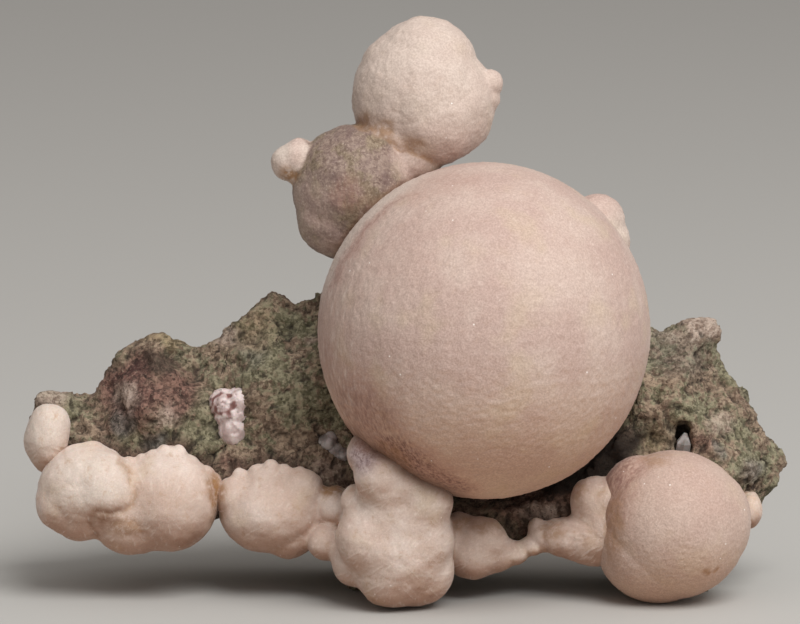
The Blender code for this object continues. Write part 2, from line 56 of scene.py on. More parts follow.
# Light: a wide dome of it from the upper right front, with one softbox in the middle
LIGHT_DIRECTION = (0.305, -0.557, 0.775)
KEY_POWER = 8.8
SKY_STRENGTH = 0.80
SKY_FOCUS = 2.0
SKY_FAR_COLOUR = (1.0, 0.80, 0.64, 1.0)
SKY_NEAR_COLOUR = (1.0, 1.0, 1.0, 1.0)
KEY_COLOUR = (1.0, 1.0, 0.99)
KEY_DISTANCE = 1000.0
KEY_SIZE = 700.0
LIT_PLACE = (0.0, 0.0, 30.0)
FLOOR_REACH = 4000.0
FLOOR_COLOUR = (184, 182, 178)

# Grain of the fine meshes, which COARSENESS scales.
COARSENESS = 1.0
GREAT_VOXEL = 0.28 * COARSENESS
UPPER_VOXEL = 0.19 * COARSENESS
RIGHT_VOXEL = 0.17 * COARSENESS
FRONT_VOXEL = 0.18 * COARSENESS
LUMP_VOXEL = 0.17 * COARSENESS
SMALL_VOXEL = 0.14 * COARSENESS
ROCK_VOXEL = 0.34 * COARSENESS
LOBE_MESH = (48, 32)
SOFTEN_ROUNDS = 200
SOFTEN_PASSES = 3

# Noise: where a bump's height is 0, how blocks are spread, how sharp the edge of a patch is
DOME_LEVEL = 0.8
BLOCK_HEIGHT = 1.6
BLOCK_SPREAD = 7.3
PATCH_EDGE = 1.6
RAY_TURNS = 9.0
RAY_LENGTH = 0.7

# The lobes that each piece is grown from, as in the part: centre, and radius or three half widths
GREAT_SPHERE = (
    ((9.2, -1.5, 32.8), (19.75, 19.75, 20.0)),
    ((22.8, 3.5, 45.2), 3.4),
    ((23.5, 3.5, 43.0), 3.3),
)
UPPER_SPHERES = (
    ((-6.2, 6.2, 49.1), 7.5),
    ((-7.8, 5.5, 46.0), 5.4),
    ((-10.3, 6.0, 48.8), (3.2, 4.0, 4.8)),
    ((0.2, 6.8, 52.2), (3.9, 4.0, 3.1)),
    ((1.6, 9.5, 59.7), 8.2),
    ((2.2, 9.5, 62.7), 6.5),
    ((0.7, 9.5, 61.2), 6.8),
    ((3.3, 9.5, 58.9), 7.5),
    ((3.0, 7.4, 57.6), 6.1),
    ((-1.4, 6.4, 55.2), (4.0, 3.7, 3.4)),
    ((9.8, 8.5, 61.3), 1.8),
    ((9.3, 8.5, 59.5), 2.0),
    ((-14.0, 5.5, 52.1), 2.2),
    ((-13.2, 5.3, 52.5), 2.2),
    ((-12.7, 5.5, 53.1), 1.9),
    ((-13.1, 5.5, 51.0), 1.6),
)
GREY_LOBES = 4  # so many of the first UPPER_SPHERES are the grey sphere
MIDDLE_LUMP = (
    ((-16.1, 2.2, 10.3), (6.4, 6.2, 5.0)),
    ((-16.9, 1.6, 13.2), (2.8, 3.0, 2.8)),
    ((-20.1, 1.6, 12.0), (2.8, 3.2, 2.8)),
    ((-12.7, 1.2, 12.9), (2.8, 3.2, 2.8)),
    ((-14.1, 1.0, 8.1), (3.4, 3.4, 3.2)),
    ((-8.6, 1.0, 11.0), (2.5, 3.2, 2.6)),
    ((-9.6, -1.4, 7.2), 2.2),
)
CENTRE_LUMP = (
    ((-1.1, -3.0, 8.1), (6.9, 8.0, 5.7)),
    ((-1.0, -5.0, 7.3), (6.2, 6.5, 6.5)),
    ((-1.6, -6.8, 11.2), (4.2, 4.3, 3.8)),
    ((0.6, -6.4, 11.0), (4.4, 4.6, 4.4)),
    ((-1.8, -7.0, 14.4), (3.6, 4.3, 3.2)),
    ((-4.0, -6.8, 8.8), (4.4, 4.4, 4.3)),
    ((1.7, -6.6, 8.4), (4.0, 4.2, 4.0)),
    ((-1.7, -6.2, 4.7), (4.4, 4.4, 4.4)),
    ((1.3, -5.0, 4.6), (4.4, 4.4, 4.3)),
    ((-5.9, -3.4, 5.4), (3.1, 3.8, 3.1)),
    ((2.1, -7.0, 13.0), (3.4, 4.0, 3.5)),
    ((-2.9, -7.8, 16.4), (3.3, 3.8, 3.3)),
    ((-0.5, -7.8, 15.3), (3.0, 3.4, 2.6)),
    ((-4.8, -5.4, 18.7), (2.2, 3.8, 2.6)),
    ((-2.2, -8.2, 12.9), (2.4, 2.4, 2.1)),
    ((-5.9, -5.0, 12.9), (1.9, 2.8, 2.0)),
)
BRIDGE = (
    ((7.9, -0.2, 5.8), (3.6, 3.8, 3.2)),
    ((6.3, 0.6, 7.7), (2.5, 3.2, 2.8)),
    ((9.9, -0.6, 8.5), (1.6, 2.2, 1.6)),
    ((10.6, 0.4, 5.6), (2.5, 3.0, 2.4)),
    ((8.9, -0.4, 7.3), (3.2, 3.3, 2.8)),
    ((12.9, 0.8, 5.5), (1.8, 2.4, 1.4)),
    ((15.0, 1.2, 6.3), (1.6, 2.2, 1.2)),
    ((15.8, 2.0, 7.9), (1.1, 2.2, 1.8)),
    ((16.8, 1.2, 7.4), (2.2, 2.4, 1.9)),
    ((19.2, 0.6, 7.5), (3.4, 3.0, 2.4)),
    ((20.8, 0.2, 7.4), (3.6, 3.2, 2.7)),
    ((22.4, -0.4, 7.3), (3.6, 3.6, 3.1)),
    ((24.2, -1.2, 8.6), (2.6, 3.6, 3.8)),
    ((22.5, 0.2, 11.9), (2.9, 3.2, 3.1)),
    ((24.8, -0.5, 11.6), (2.6, 3.5, 3.6)),
)
RIGHT_SPHERE = (
    ((31.9, -0.9, 9.3), 8.9),
    ((33.9, -0.9, 9.6), 7.3),
    ((30.0, -0.9, 7.4), 7.5),
    ((27.9, -0.8, 13.2), 4.4),
    ((26.0, -1.0, 5.9), (3.2, 3.6, 3.3)),
)
LEFT_CLUSTER = (
    ((-38.3, 1.4, 13.2), (5.8, 6.0, 5.5)),
    ((-40.7, 0.4, 11.7), (3.7, 3.8, 3.7)),
    ((-38.8, 0.4, 10.8), (3.7, 3.8, 3.7)),
    ((-36.3, -0.4, 13.5), (4.3, 4.8, 4.6)),
    ((-31.8, 1.4, 11.4), (4.6, 5.2, 4.8)),
    ((-34.4, 0.8, 11.4), (4.0, 4.6, 4.4)),
    ((-37.7, 1.8, 16.6), (2.3, 2.6, 2.4)),
    ((-28.6, 1.6, 11.7), (6.1, 6.4, 6.1)),
    ((-32.9, 0.8, 10.0), (5.0, 4.6, 4.6)),
    ((-30.5, 1.6, 16.2), (1.4, 1.8, 1.4)),
    ((-28.1, 1.6, 16.0), (2.4, 2.6, 2.4)),
    ((-25.1, 2.0, 14.0), (2.3, 2.6, 2.4)),
    ((-24.0, 2.0, 12.9), (2.1, 2.4, 2.4)),
)
END_LUMP = (
    ((-43.1, 3.3, 19.0), (2.55, 3.2, 4.1)),
    ((-42.8, 3.4, 20.7), (2.45, 3.0, 2.5)),
    ((-43.3, 3.5, 18.9), (2.6, 3.2, 3.2)),
    ((-43.0, 3.6, 17.0), (2.0, 2.6, 2.3)),
)
REAR_LUMP = (
    ((41.5, 6.6, 9.7), (1.6, 2.4, 2.2)),
)
# Knobs of a millimetre on the lumps' upper edges: centre and radius
LEFT_KNOBS = (
    ((-34.4, 1.0, 16.2), 0.8),
    ((-33.2, 1.2, 16.5), 0.9),
    ((-31.6, 1.3, 16.6), 0.9),
    ((-30.3, 1.2, 17.1), 1.0),
    ((-28.9, 1.1, 17.6), 1.1),
    ((-27.2, 1.2, 17.6), 1.0),
    ((-25.9, 1.0, 16.2), 1.0),
    ((-24.7, 1.2, 15.1), 0.9),
    ((-23.7, 1.0, 14.3), 0.8),
)
MIDDLE_KNOBS = (
    ((-19.9, 1.6, 14.8), 0.9),
    ((-17.9, 1.4, 15.3), 1.0),
    ((-16.2, 1.3, 15.6), 1.1),
    ((-14.6, 1.4, 15.2), 1.0),
    ((-12.7, 1.2, 14.9), 1.0),
    ((-11.2, 1.3, 14.1), 0.9),
)

# Creases that the front of the lumps shows, as lines of (x, z)
LEFT_CREASES = (
    (
        (-34.0, 17.3), (-33.1, 16.0), (-32.3, 14.1), (-32.5, 12.3),
        (-33.6, 11.3), (-35.2, 11.3), (-36.9, 11.5),
    ),
    ((-36.9, 11.4), (-37.7, 9.9), (-37.0, 8.2)),
)
# Where the lumps have few small forms of their own: centre, reach and strength
SMOOTH_LUMPS = (
    ((-1.0, -8.0, 9.0), (10.5, 10.0, 14.0), 0.9),
    ((22.6, -1.0, 9.6), (7.0, 7.0, 7.0), 0.9),
    ((9.4, -0.5, 6.8), (6.0, 6.0, 5.0), 0.8),
    ((-34.0, -2.0, 12.5), (15.0, 12.0, 9.0), 0.5),
    ((-43.1, 3.3, 19.0), (7.0, 7.0, 8.0), 1.0),
)

# A fan of fibres in the bridge: where they spread from, its middle and its reach
FAN = ((24.2, 1.0, 8.2), (20.4, -1.0, 7.6), (5.0, 5.0, 3.6))

WHITE_AMYGDULE = (
    ((-22.1, 5.7, 22.8), (1.7, 2.5, 1.9)),
    ((-20.1, 5.7, 23.0), (1.8, 2.5, 1.8)),
    ((-21.1, 5.5, 21.8), (2.4, 2.5, 1.9)),
    ((-20.9, 5.3, 20.0), (1.9, 2.4, 2.4)),
)
GREY_AMYGDULE = (
    ((-9.3, 5.8, 18.4), (1.2, 2.2, 1.3)),
    ((-8.5, 5.7, 17.5), (1.1, 2.0, 1.0)),
    ((-7.5, 5.5, 16.9), (1.1, 2.0, 0.9)),
)

# Areas of another colour, and some of painted light or shade: centre, reach and strength of each
# patch
GREAT_MAUVE = (
    ((-4.9, -12.0, 23.8), 8.5, 0.70),
    ((-1.3, -11.8, 18.6), 7.0, 1.00),
    ((-7.6, -9.0, 29.0), 6.5, 0.40),
    ((3.2, -11.4, 15.8), 6.5, 0.90),
    ((3.9, -7.5, 51.0), (6.0, 5.0, 3.0), 0.30),
    ((-9.0, -8.0, 33.0), (6.0, 7.0, 9.0), 0.25),
)
GREAT_STAINS = (((-1.5, -11.8, 19.8), 3.6, 0.5),)
GREAT_PALE = (((24.0, 3.0, 44.0), 4.4, 0.8),)
UPPER_STAINS = (
    ((-13.9, 3.8, 50.8), 1.9, 0.9),
    ((-5.0, 5.4, 57.2), (1.8, 3.0, 1.6), 0.6),
    ((-2.4, 3.6, 56.3), (2.2, 3.0, 1.7), 0.7),
    ((0.6, 3.5, 54.8), (2.8, 3.0, 1.6), 0.6),
)
UPPER_MAUVE = (
    # The first patch is the purple middle of the grey sphere, partly painted shade where it faces
    # the light.
    ((-7.0, -1.0, 49.0), 3.0, 0.4),
    ((-8.0, 1.0, 41.6), 2.4, 0.2),
)
UPPER_NOT_GREY = (((1.2, 3.5, 52.2), 4.6, 0.75),)
# The first patch lightens the grey sphere's left side: partly painted light.
UPPER_LESS_GREY = (((-11.5, 2.0, 47.0), 5.5, 0.45), ((-9.0, 1.0, 42.5), 4.0, 0.4))
UPPER_PALE = (((1.6, 9.5, 61.0), 13.5, 0.85), ((-13.8, 5.0, 52.5), 3.8, 1.0))
RIGHT_MAUVE = (((25.4, -2.8, 15.6), 4.6, 0.75), ((25.6, -5.5, 12.0), 4.0, 0.4))
RIGHT_STAINS = (
    ((24.4, -5.5, 10.0), (2.4, 4.0, 6.0), 0.6),
    ((29.6, -2.6, 17.4), (2.6, 4.0, 1.2), 0.5),
    ((35.6, -7.6, 5.0), 0.9, 0.8),
    ((36.9, -7.0, 5.0), 0.7, 0.8),
)
FRONT_STAINS = (
    ((-8.8, 0.4, 13.6), (2.6, 3.0, 1.6), 0.9),
    ((-22.8, 0.0, 12.2), (1.6, 3.0, 4.0), 0.8),
    ((11.0, -2.0, 9.6), 1.8, 0.5),
    ((17.4, -1.0, 8.6), (3.0, 3.0, 1.8), 0.6),
    ((4.6, -3.0, 6.0), (1.8, 3.0, 4.5), 0.7),
    ((6.6, -2.0, 9.6), (2.6, 3.0, 1.2), 0.6),
    ((24.4, -3.6, 8.6), (1.6, 3.0, 5.0), 0.7),
    ((20.4, -1.0, 13.6), (1.2, 3.0, 2.6), 0.5),
    ((8.6, -3.0, 9.6), (3.4, 3.0, 1.2), 0.5),
    ((22.6, -3.4, 7.6), (2.6, 3.0, 2.6), 0.4),
    ((2.6, -9.0, 3.0), (3.0, 4.0, 2.0), 0.35),
)
FRONT_LILAC = (((-5.0, -9.0, 19.6), 3.6, 0.9),)
FRONT_MAUVE = (((-4.0, -9.4, 20.4), (3.4, 3.4, 1.6), 0.45),)
FRONT_DULL = (((-16.0, -2.0, 12.0), 8.0, 0.25), ((8.0, -3.0, 6.0), 6.0, 0.4))
LEFT_STAINS = (
    ((-23.1, 0.4, 12.6), (1.8, 3.0, 4.5), 1.0),
    ((-33.4, -3.4, 9.4), (3.8, 3.0, 1.7), 0.7),
    ((-35.8, -4.2, 10.8), (2.4, 3.0, 1.2), 0.6),
    ((-26.0, -1.5, 7.6), 2.6, 0.35),
)
LEFT_PALE = (((-37.4, -3.0, 14.5), 7.0, 0.9),)
LEFT_DULL = (((-27.5, -3.0, 11.0), 7.5, 0.45),)
END_STAINS = (((-41.3, 2.0, 16.8), 2.4, 0.7),)
REAR_STAINS = (((41.5, 5.0, 9.7), 5.0, 0.2),)
ROCK_SLATE = (
    ((-34.0, 7.0, 20.6), (2.4, 8.0, 2.0), 0.7),
    ((-30.0, 6.0, 18.9), (2.6, 8.0, 2.0), 0.9),
    ((42.0, 4.0, 14.5), (2.4, 8.0, 2.4), 0.8),
    ((32.0, 6.0, 19.0), (2.4, 8.0, 2.4), 0.6),
    ((37.6, 5.0, 17.0), (1.6, 8.0, 1.4), 0.6),
    ((-18.0, 9.0, 29.0), (3.0, 8.0, 3.0), 0.4),
    ((33.0, 9.0, 28.5), (6.0, 8.0, 4.0), 0.35),
    ((-24.0, 20.0, 19.0), (8.0, 6.0, 5.0), 0.7),
    ((30.0, 20.0, 22.0), (6.0, 6.0, 6.0), 0.6),
)
ROCK_MAROON = (
    ((-33.0, 7.0, 24.0), (8.0, 12.0, 6.5), 1.0),
    ((-28.0, 5.5, 24.0), (5.0, 10.0, 5.0), 0.9),
    ((-20.0, 3.2, 15.6), (5.0, 8.0, 1.6), 0.7),
    ((35.9, 3.8, 18.6), (3.0, 8.0, 2.4), 0.6),
    ((41.5, 6.0, 24.0), (3.0, 8.0, 3.5), 0.5),
    ((-44.0, 9.5, 22.5), (4.0, 9.0, 1.6), 0.5),
    ((-11.0, 4.0, 16.0), (3.5, 8.0, 3.0), 0.35),
    ((16.0, 3.0, 11.5), (10.0, 8.0, 5.0), 0.8),
    ((-9.0, 20.0, 27.0), (11.0, 6.0, 8.0), 0.8),
    ((20.0, 20.0, 12.0), (10.0, 6.0, 6.0), 0.7),
    ((-38.0, 18.0, 20.0), (6.0, 6.0, 5.0), 0.8),
)
ROCK_OLIVE = (
    ((-29.0, 8.3, 30.2), (5.0, 9.0, 1.2), 0.7),
    ((-18.9, 9.3, 31.3), (4.5, 9.0, 4.0), 0.5),
    ((30.5, 5.4, 19.0), (3.5, 8.0, 3.0), 0.5),
    ((6.0, 20.0, 20.0), (9.0, 6.0, 9.0), 0.6),
)
ROCK_PALE_AND_PAINTED_LIGHT = (
    ((-33.6, 7.5, 23.7), (2.6, 9.0, 2.3), 0.8),
    # This patch and the next are painted light: they lift the strip below the great sphere and a
    # spot beside the lumps, which the great sphere shades.
    ((17.0, 2.0, 10.0), (4.8, 6.0, 1.8), 0.8),
    ((-9.4, 2.0, 14.8), (3.2, 5.0, 2.4), 0.6),
    ((-28.7, 5.0, 21.7), (2.2, 8.0, 1.9), 0.55),
    ((36.0, 9.5, 31.6), (3.4, 8.0, 2.4), 0.9),
    ((31.3, 9.6, 30.6), (2.2, 6.0, 1.2), 0.5),
    ((-22.0, 10.6, 30.4), (2.4, 6.0, 1.8), 0.7),
    ((-43.0, 9.5, 23.0), (3.4, 8.0, 1.4), 0.7),
    ((-11.6, 6.8, 30.5), (1.0, 3.0, 0.8), 0.8),
    ((38.0, 5.8, 20.6), (2.4, 6.0, 2.0), 0.5),
    ((41.5, 4.3, 14.5), (2.2, 6.0, 2.4), 0.4),
    ((-17.0, 20.0, 15.0), (5.0, 5.0, 3.0), 0.6),
    ((14.0, 20.0, 27.0), (6.0, 5.0, 3.0), 0.6),
)
# Painted shade: a dark patch near the rock's upper-left peak.
ROCK_PAINTED_SHADE = (((-29.8, 8.0, 27.6), (4.0, 9.0, 2.0), 1.0),)
# Where the painted shade at the base of the lumps is left out.
ROCK_NO_FOOT_SHADE = (((-9.4, 2.0, 14.8), (3.4, 5.0, 3.0), 0.9),)


def mm(value):
    """Millimetres as metres, for a number or a vector."""
    if isinstance(value, (int, float)):
        return value * 0.001
    return Vector(value) * 0.001


def srgb(red, green, blue):
    """A colour of 0 to 255 as the shader's light values."""
    def light(value):
        value /= 255.0
        return value / 12.92 if value <= 0.04045 else ((value + 0.055) / 1.055) ** 2.4

    return (light(red), light(green), light(blue), 1.0)


def ease(values):
    """Smooth step from 0 to 1."""
    values = np.clip(values, 0.0, 1.0)
    return values * values * (3.0 - 2.0 * values)


def ramp(values, start, width):
    """Smooth step that begins at the start. It falls instead where the width is below 0."""
    return ease((values - start) / width)


def offset_of(seed):
    """Where a noise is read, so that each seed gives a different one."""
    return (seed, seed * 0.37, seed * 0.71)


def noise_grid(points, width, seed):
    return points / width + np.array(offset_of(seed))


def soft(points, width, seed):
    """Smooth noise from -1 to 1 whose waves are about this wide."""
    grid = noise_grid(points, width, seed)
    return np.fromiter(map(noise.noise, grid.tolist()), float, len(grid))


def domes(points, width, seed):
    """Rounded bumps that meet in creases: above 0 on a bump, below 0 in a crease."""
    grid = noise_grid(points, width, seed)
    away = np.fromiter((noise.voronoi(place)[0][0] for place in grid.tolist()), float, len(grid))
    return np.sqrt(np.maximum(1.0 - away * away, 0.0)) - DOME_LEVEL


def blocks(points, width, seed):
    """Flat blocks with steps between them, from -1 to 1."""
    grid = noise_grid(points, width, seed)
    heights = (noise.noise(noise.voronoi(place)[1][0] * BLOCK_SPREAD) for place in grid.tolist())
    return BLOCK_HEIGHT * np.fromiter(heights, float, len(grid))


class Skin:
    """A piece's points, normals and edges as arrays, in millimetres."""

    def __init__(self, thing):
        self.thing = thing
        mesh = thing.data
        self.points = self.read(mesh.vertices, "co", 3) * 1000.0
        self.edges = self.read(mesh.edges, "vertices", 2).astype(int)
        self.normals = self.read(mesh.vertex_normals, "vector", 3)

    @staticmethod
    def read(items, name, width):
        kind = np.int32 if name == "vertices" else np.float32
        values = np.empty(len(items) * width, kind)
        items.foreach_get(name, values)
        return values.reshape(-1, width).astype(float)

    def push(self, heights):
        """Moves each point along its normal."""
        self.points += self.normals * heights[:, None]

    def settle(self):
        """Writes the points back to the mesh and reads its new normals."""
        mesh = self.thing.data
        mesh.vertices.foreach_set("co", (self.points * 0.001).astype(np.float32).ravel())
        mesh.update()
        self.normals = self.read(mesh.vertex_normals, "vector", 3)

    def blurred(self, values, rounds):
        """Values averaged with those of the neighbouring points, this many times."""
        first, second = self.edges.T
        count = len(self.points)
        share = 1.0 + np.bincount(first, minlength=count) + np.bincount(second, minlength=count)
        columns = values.reshape(count, -1).T.copy()
        for _ in range(rounds):
            for column in columns:
                total = column + np.bincount(first, column[second], count)
                total += np.bincount(second, column[first], count)
                column[:] = total / share
        return columns.T.reshape(values.shape)

    def hollow(self, rounds, depth):
        """How far each point lies in a hollow, as a share of this depth; below 0 on a ridge."""
        return ((self.blurred(self.points, rounds) - self.points) * self.normals).sum(1) / depth

    def fill_creases(self, rounds, share):
        """Fills creases and pits and leaves what stands out."""
        self.push(share * np.maximum(self.hollow(rounds, 1.0), 0.0))
        self.settle()

    def soften(self, rounds, share):
        """Takes out small forms and keeps the large ones at their size."""
        detail = self.points
        for _ in range(SOFTEN_PASSES):
            detail = detail - self.blurred(detail, rounds)
        self.points = self.points - share[:, None] * detail
        self.settle()

    def mask(self, name, values):
        """Keeps values from 0 to 1, or one value, on the mesh for a material to read."""
        values = np.clip(values, 0.0, 1.0) * np.ones(len(self.points))
        made = self.thing.data.attributes.new(name, "FLOAT", "POINT")
        made.data.foreach_set("value", values.astype(np.float32))


def object_of(name, mesh):
    made = bpy.data.objects.new(name, mesh)
    bpy.context.scene.collection.objects.link(made)
    return made


def freeze(thing):
    """Replaces an object's mesh by what its modifiers make of it."""
    graph = bpy.context.evaluated_depsgraph_get()
    made = bpy.data.meshes.new_from_object(thing.evaluated_get(graph))
    thing.modifiers.clear()
    thing.data = made


def reskin(thing, voxel, smoothing):
    """Gives overlapping closed shells one skin of even quads."""
    remesh = thing.modifiers.new("skin", "REMESH")
    remesh.mode = "VOXEL"
    remesh.voxel_size = mm(voxel)
    soften = thing.modifiers.new("soften", "SMOOTH")
    soften.factor = 0.5
    soften.iterations = smoothing
    freeze(thing)
    thing.data.shade_smooth()
    return Skin(thing)


def grow(name, lobes, voxel, smoothing=3):
    """One skin round a piece's lobes."""
    shape = bmesh.new()
    meridians, rings = LOBE_MESH
    for centre, radii in lobes:
        if isinstance(radii, (int, float)):
            radii = (radii, radii, radii)
        place = Matrix.Translation(mm(centre)) @ Matrix.Diagonal((*mm(radii), 1.0))
        ball = bmesh.new()
        bmesh.ops.create_uvsphere(
            ball, u_segments=meridians, v_segments=rings, radius=1.0, matrix=place
        )
        lobe = bpy.data.meshes.new("lobe")
        ball.to_mesh(lobe)
        ball.free()
        shape.from_mesh(lobe)
        bpy.data.meshes.remove(lobe)
    mesh = bpy.data.meshes.new(name)
    shape.to_mesh(mesh)
    shape.free()
    return reskin(object_of(name, mesh), voxel, smoothing)


def tree_of(*skins):
    """Search trees over finished pieces."""
    bpy.context.view_layer.update()
    graph = bpy.context.evaluated_depsgraph_get()
    return [BVHTree.FromObject(skin.thing, graph) for skin in skins]


def cad_tree(node):
    """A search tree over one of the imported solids."""
    return BVHTree.FromObject(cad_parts[node], bpy.context.evaluated_depsgraph_get())


def distance_to(points, trees, reach):
    """How far each point is from the nearest of some pieces, up to a reach."""
    found = np.full(len(points), reach)
    for tree in trees:
        for number, place in enumerate((points * 0.001).tolist()):
            away = tree.find_nearest(place, mm(reach))[3]
            if away is not None:
                found[number] = min(found[number], away * 1000.0)
    return found


def patches(points, places, seed, raggedness=1.2, width=3.0):
    """Ragged patches, each a centre, a reach and a strength: 1 in the middle of a full one."""
    ragged = points.copy()
    for axis in range(3):
        ragged[:, axis] += raggedness * soft(points, width, seed + 5.0 * axis)
    share = np.zeros(len(points))
    for centre, reach, strength in places:
        away = np.linalg.norm((ragged - np.array(centre)) / np.array(reach), axis=1)
        share = np.maximum(share, strength * ease(PATCH_EDGE * (1.0 - away)))
    return share


def nearest_lobe(points, lobes):
    """The number of the lobe that each point belongs to."""
    best = np.full(len(points), np.inf)
    number = np.zeros(len(points), int)
    for index, (centre, radii) in enumerate(lobes):
        away = np.linalg.norm((points - np.array(centre)) / np.array(radii), axis=1)
        nearer = away < best
        best[nearer] = away[nearer]
        number[nearer] = index
    return number


def rays(points, lobes, seed):
    """Fine streaks that run outward from the middle of the nearest lobe or fan, from 0 to 1."""
    centres = np.array([centre for centre, _ in lobes])
    offset = points - centres[nearest_lobe(points, lobes)]
    spread, middle, reach = FAN
    fanned = np.linalg.norm((points - np.array(middle)) / np.array(reach), axis=1) < 1.0
    offset[fanned] = points[fanned] - np.array(spread)
    across = np.hypot(offset[:, 0], offset[:, 2]) + 1e-6
    turn = offset[:, (0, 2)] / across[:, None] * RAY_TURNS
    spot = np.column_stack((turn, across * RAY_LENGTH))
    return 0.5 + 0.5 * soft(spot, 1.0, seed) + 0.25 * soft(spot * 2.3, 1.0, seed + 3.0)


def along_lines(skin, lines, width, seed):
    """1 on these lines of the front, 0 away from them and on sides that the front doesn't show."""
    sideways = soft(skin.points, 1.2, seed)
    upward = soft(skin.points, 1.2, seed + 4.0)
    spots = skin.points[:, (0, 2)] + 0.25 * np.column_stack((sideways, upward))
    nearest = np.full(len(spots), np.inf)
    for line in lines:
        for start, end in zip(line, line[1:]):
            start, run = np.array(start), np.subtract(end, start)
            share = np.clip((spots - start) @ run / (run @ run), 0.0, 1.0)
            away = np.linalg.norm(spots - start - share[:, None] * run, axis=1)
            nearest = np.minimum(nearest, away)
    return np.exp(-((nearest / width) ** 2)) * ease(0.4 - 1.6 * skin.normals[:, 1])


class Finish:
    """A material's node tree, built in small steps that each return a socket."""

    def __init__(self, name, roughness):
        self.material = bpy.data.materials.new(name)
        self.material.use_nodes = True
        self.tree = self.material.node_tree
        self.shader = self.tree.nodes["Principled BSDF"]
        self.shader.inputs["Roughness"].default_value = roughness
        self.place = self.tree.nodes.new("ShaderNodeTexCoord").outputs["Object"]

    def node(self, kind, **settings):
        made = self.tree.nodes.new(kind)
        for name, value in settings.items():
            setattr(made, name, value)
        return made

    def feed(self, value, socket):
        if isinstance(value, bpy.types.NodeSocket):
            self.tree.links.new(value, socket)
        else:
            socket.default_value = value

    def grid(self, width, seed, stretch=(1.0, 1.0, 1.0)):
        """Object coordinates in steps of this width."""
        mapping = self.node("ShaderNodeMapping")
        self.feed(self.place, mapping.inputs["Vector"])
        self.feed(offset_of(seed), mapping.inputs["Location"])
        self.feed([1000.0 / (width * share) for share in stretch], mapping.inputs["Scale"])
        return mapping.outputs["Vector"]

    def noise(self, width, seed, detail=2.0, rough=0.5, stretch=(1.0, 1.0, 1.0)):
        texture = self.node("ShaderNodeTexNoise")
        self.feed(self.grid(width, seed, stretch), texture.inputs["Vector"])
        self.feed(1.0, texture.inputs["Scale"])
        self.feed(detail, texture.inputs["Detail"])
        self.feed(rough, texture.inputs["Roughness"])
        return texture.outputs["Fac"]

    def cells(self, width, seed, output="Distance"):
        texture = self.node("ShaderNodeTexVoronoi")
        self.feed(self.grid(width, seed), texture.inputs["Vector"])
        self.feed(1.0, texture.inputs["Scale"])
        return texture.outputs[output]

    def mask(self, name):
        return self.node("ShaderNodeAttribute", attribute_name=name).outputs["Fac"]

    def between(self, value, low, high, least=0.0, most=1.0):
        """Runs smoothly from least to most while the value goes from low to high."""
        made = self.node("ShaderNodeMapRange", interpolation_type="SMOOTHSTEP")
        self.feed(value, made.inputs["Value"])
        self.feed(low, made.inputs["From Min"])
        self.feed(high, made.inputs["From Max"])
        self.feed(least, made.inputs["To Min"])
        self.feed(most, made.inputs["To Max"])
        return made.outputs["Result"]

    def calculate(self, kind, first, second):
        made = self.node("ShaderNodeMath", operation=kind)
        self.feed(first, made.inputs[0])
        self.feed(second, made.inputs[1])
        return made.outputs["Value"]

    def times(self, first, second):
        return self.calculate("MULTIPLY", first, second)

    def plus(self, first, second):
        return self.calculate("ADD", first, second)

    def blend(self, share, first, second, kind="MIX"):
        """The first colour, and the second one where the share is 1."""
        made = self.node("ShaderNodeMix", data_type="RGBA", blend_type=kind)
        self.feed(share, made.inputs["Factor"])
        self.feed(first, made.inputs[6])
        self.feed(second, made.inputs[7])
        return made.outputs[2]

    def bump(self, height, depth):
        """Relief of this depth that only shading shows."""
        made = self.node("ShaderNodeBump")
        self.feed(height, made.inputs["Height"])
        self.feed(mm(depth), made.inputs["Distance"])
        return made.outputs["Normal"]

    def apply(self, colour, normal, **sockets):
        self.feed(colour, self.shader.inputs["Base Color"])
        self.feed(normal, self.shader.inputs["Normal"])
        for name, value in sockets.items():
            self.feed(value, self.shader.inputs[name.replace("_", " ")])
        return self.material


def grey_zone(paint, mottle):
    """Grey crystals with olive and mauve areas."""
    share = paint.between(mottle, 0.32, 0.68)
    grey = paint.blend(share, srgb(120, 98, 89), srgb(160, 139, 126))
    zone = paint.noise(2.6, 17.0, 3.0)
    olive = paint.blend(share, srgb(112, 95, 74), srgb(154, 137, 114))
    grey = paint.blend(paint.between(zone, 0.46, 0.60, 0.0, 0.8), grey, olive)
    return paint.blend(paint.between(zone, 0.42, 0.34, 0.0, 0.4), grey, srgb(112, 88, 86))


def grown_ground(paint, ground, light, warm, flecks):
    """The mottled ground of a growth, with small flecks."""
    broad = paint.noise(8.0, 3.0, 3.0, 0.55)
    colour = paint.blend(paint.between(broad, 0.38, 0.64), ground, light)
    yellowish = paint.between(paint.noise(5.0, 9.0, 2.0), 0.52, 0.74, 0.0, 0.5)
    colour = paint.blend(yellowish, colour, warm)
    colour = paint.blend(paint.mask("pale"), colour, srgb(214, 198, 186))
    fleck = paint.noise(1.1, 71.0, 4.0, 0.72)
    brown_flecks = paint.between(fleck, 0.53, 0.72, 0.0, flecks)
    white_flecks = paint.between(fleck, 0.46, 0.30, 0.0, flecks)
    colour = paint.blend(brown_flecks, colour, srgb(184, 148, 118))
    colour = paint.blend(white_flecks, colour, srgb(234, 218, 208))
    return paint.blend(paint.mask("dull"), colour, srgb(182, 152, 134))


def stained(paint, colour):
    """Mauve streaks and rusty patches, where the mesh asks for them."""
    streak = paint.noise(0.8, 41.0, 4.0, 0.7, stretch=(0.6, 0.6, 3.6))
    mauve = paint.times(paint.mask("mauve"), paint.between(streak, 0.32, 0.66, 0.35, 1.0))
    # On the great sphere the mauve next to the lumps is partly painted shade.
    deepening = paint.blend(mauve, srgb(178, 128, 111), srgb(94, 56, 50))
    colour = paint.blend(mauve, colour, deepening)
    patch = paint.noise(0.9, 51.0, 4.0, 0.7)
    rusty = paint.times(paint.mask("stain"), paint.between(patch, 0.28, 0.58, 0.2, 1.0))
    return paint.blend(rusty, colour, paint.blend(patch, srgb(128, 82, 54), srgb(166, 128, 82)))


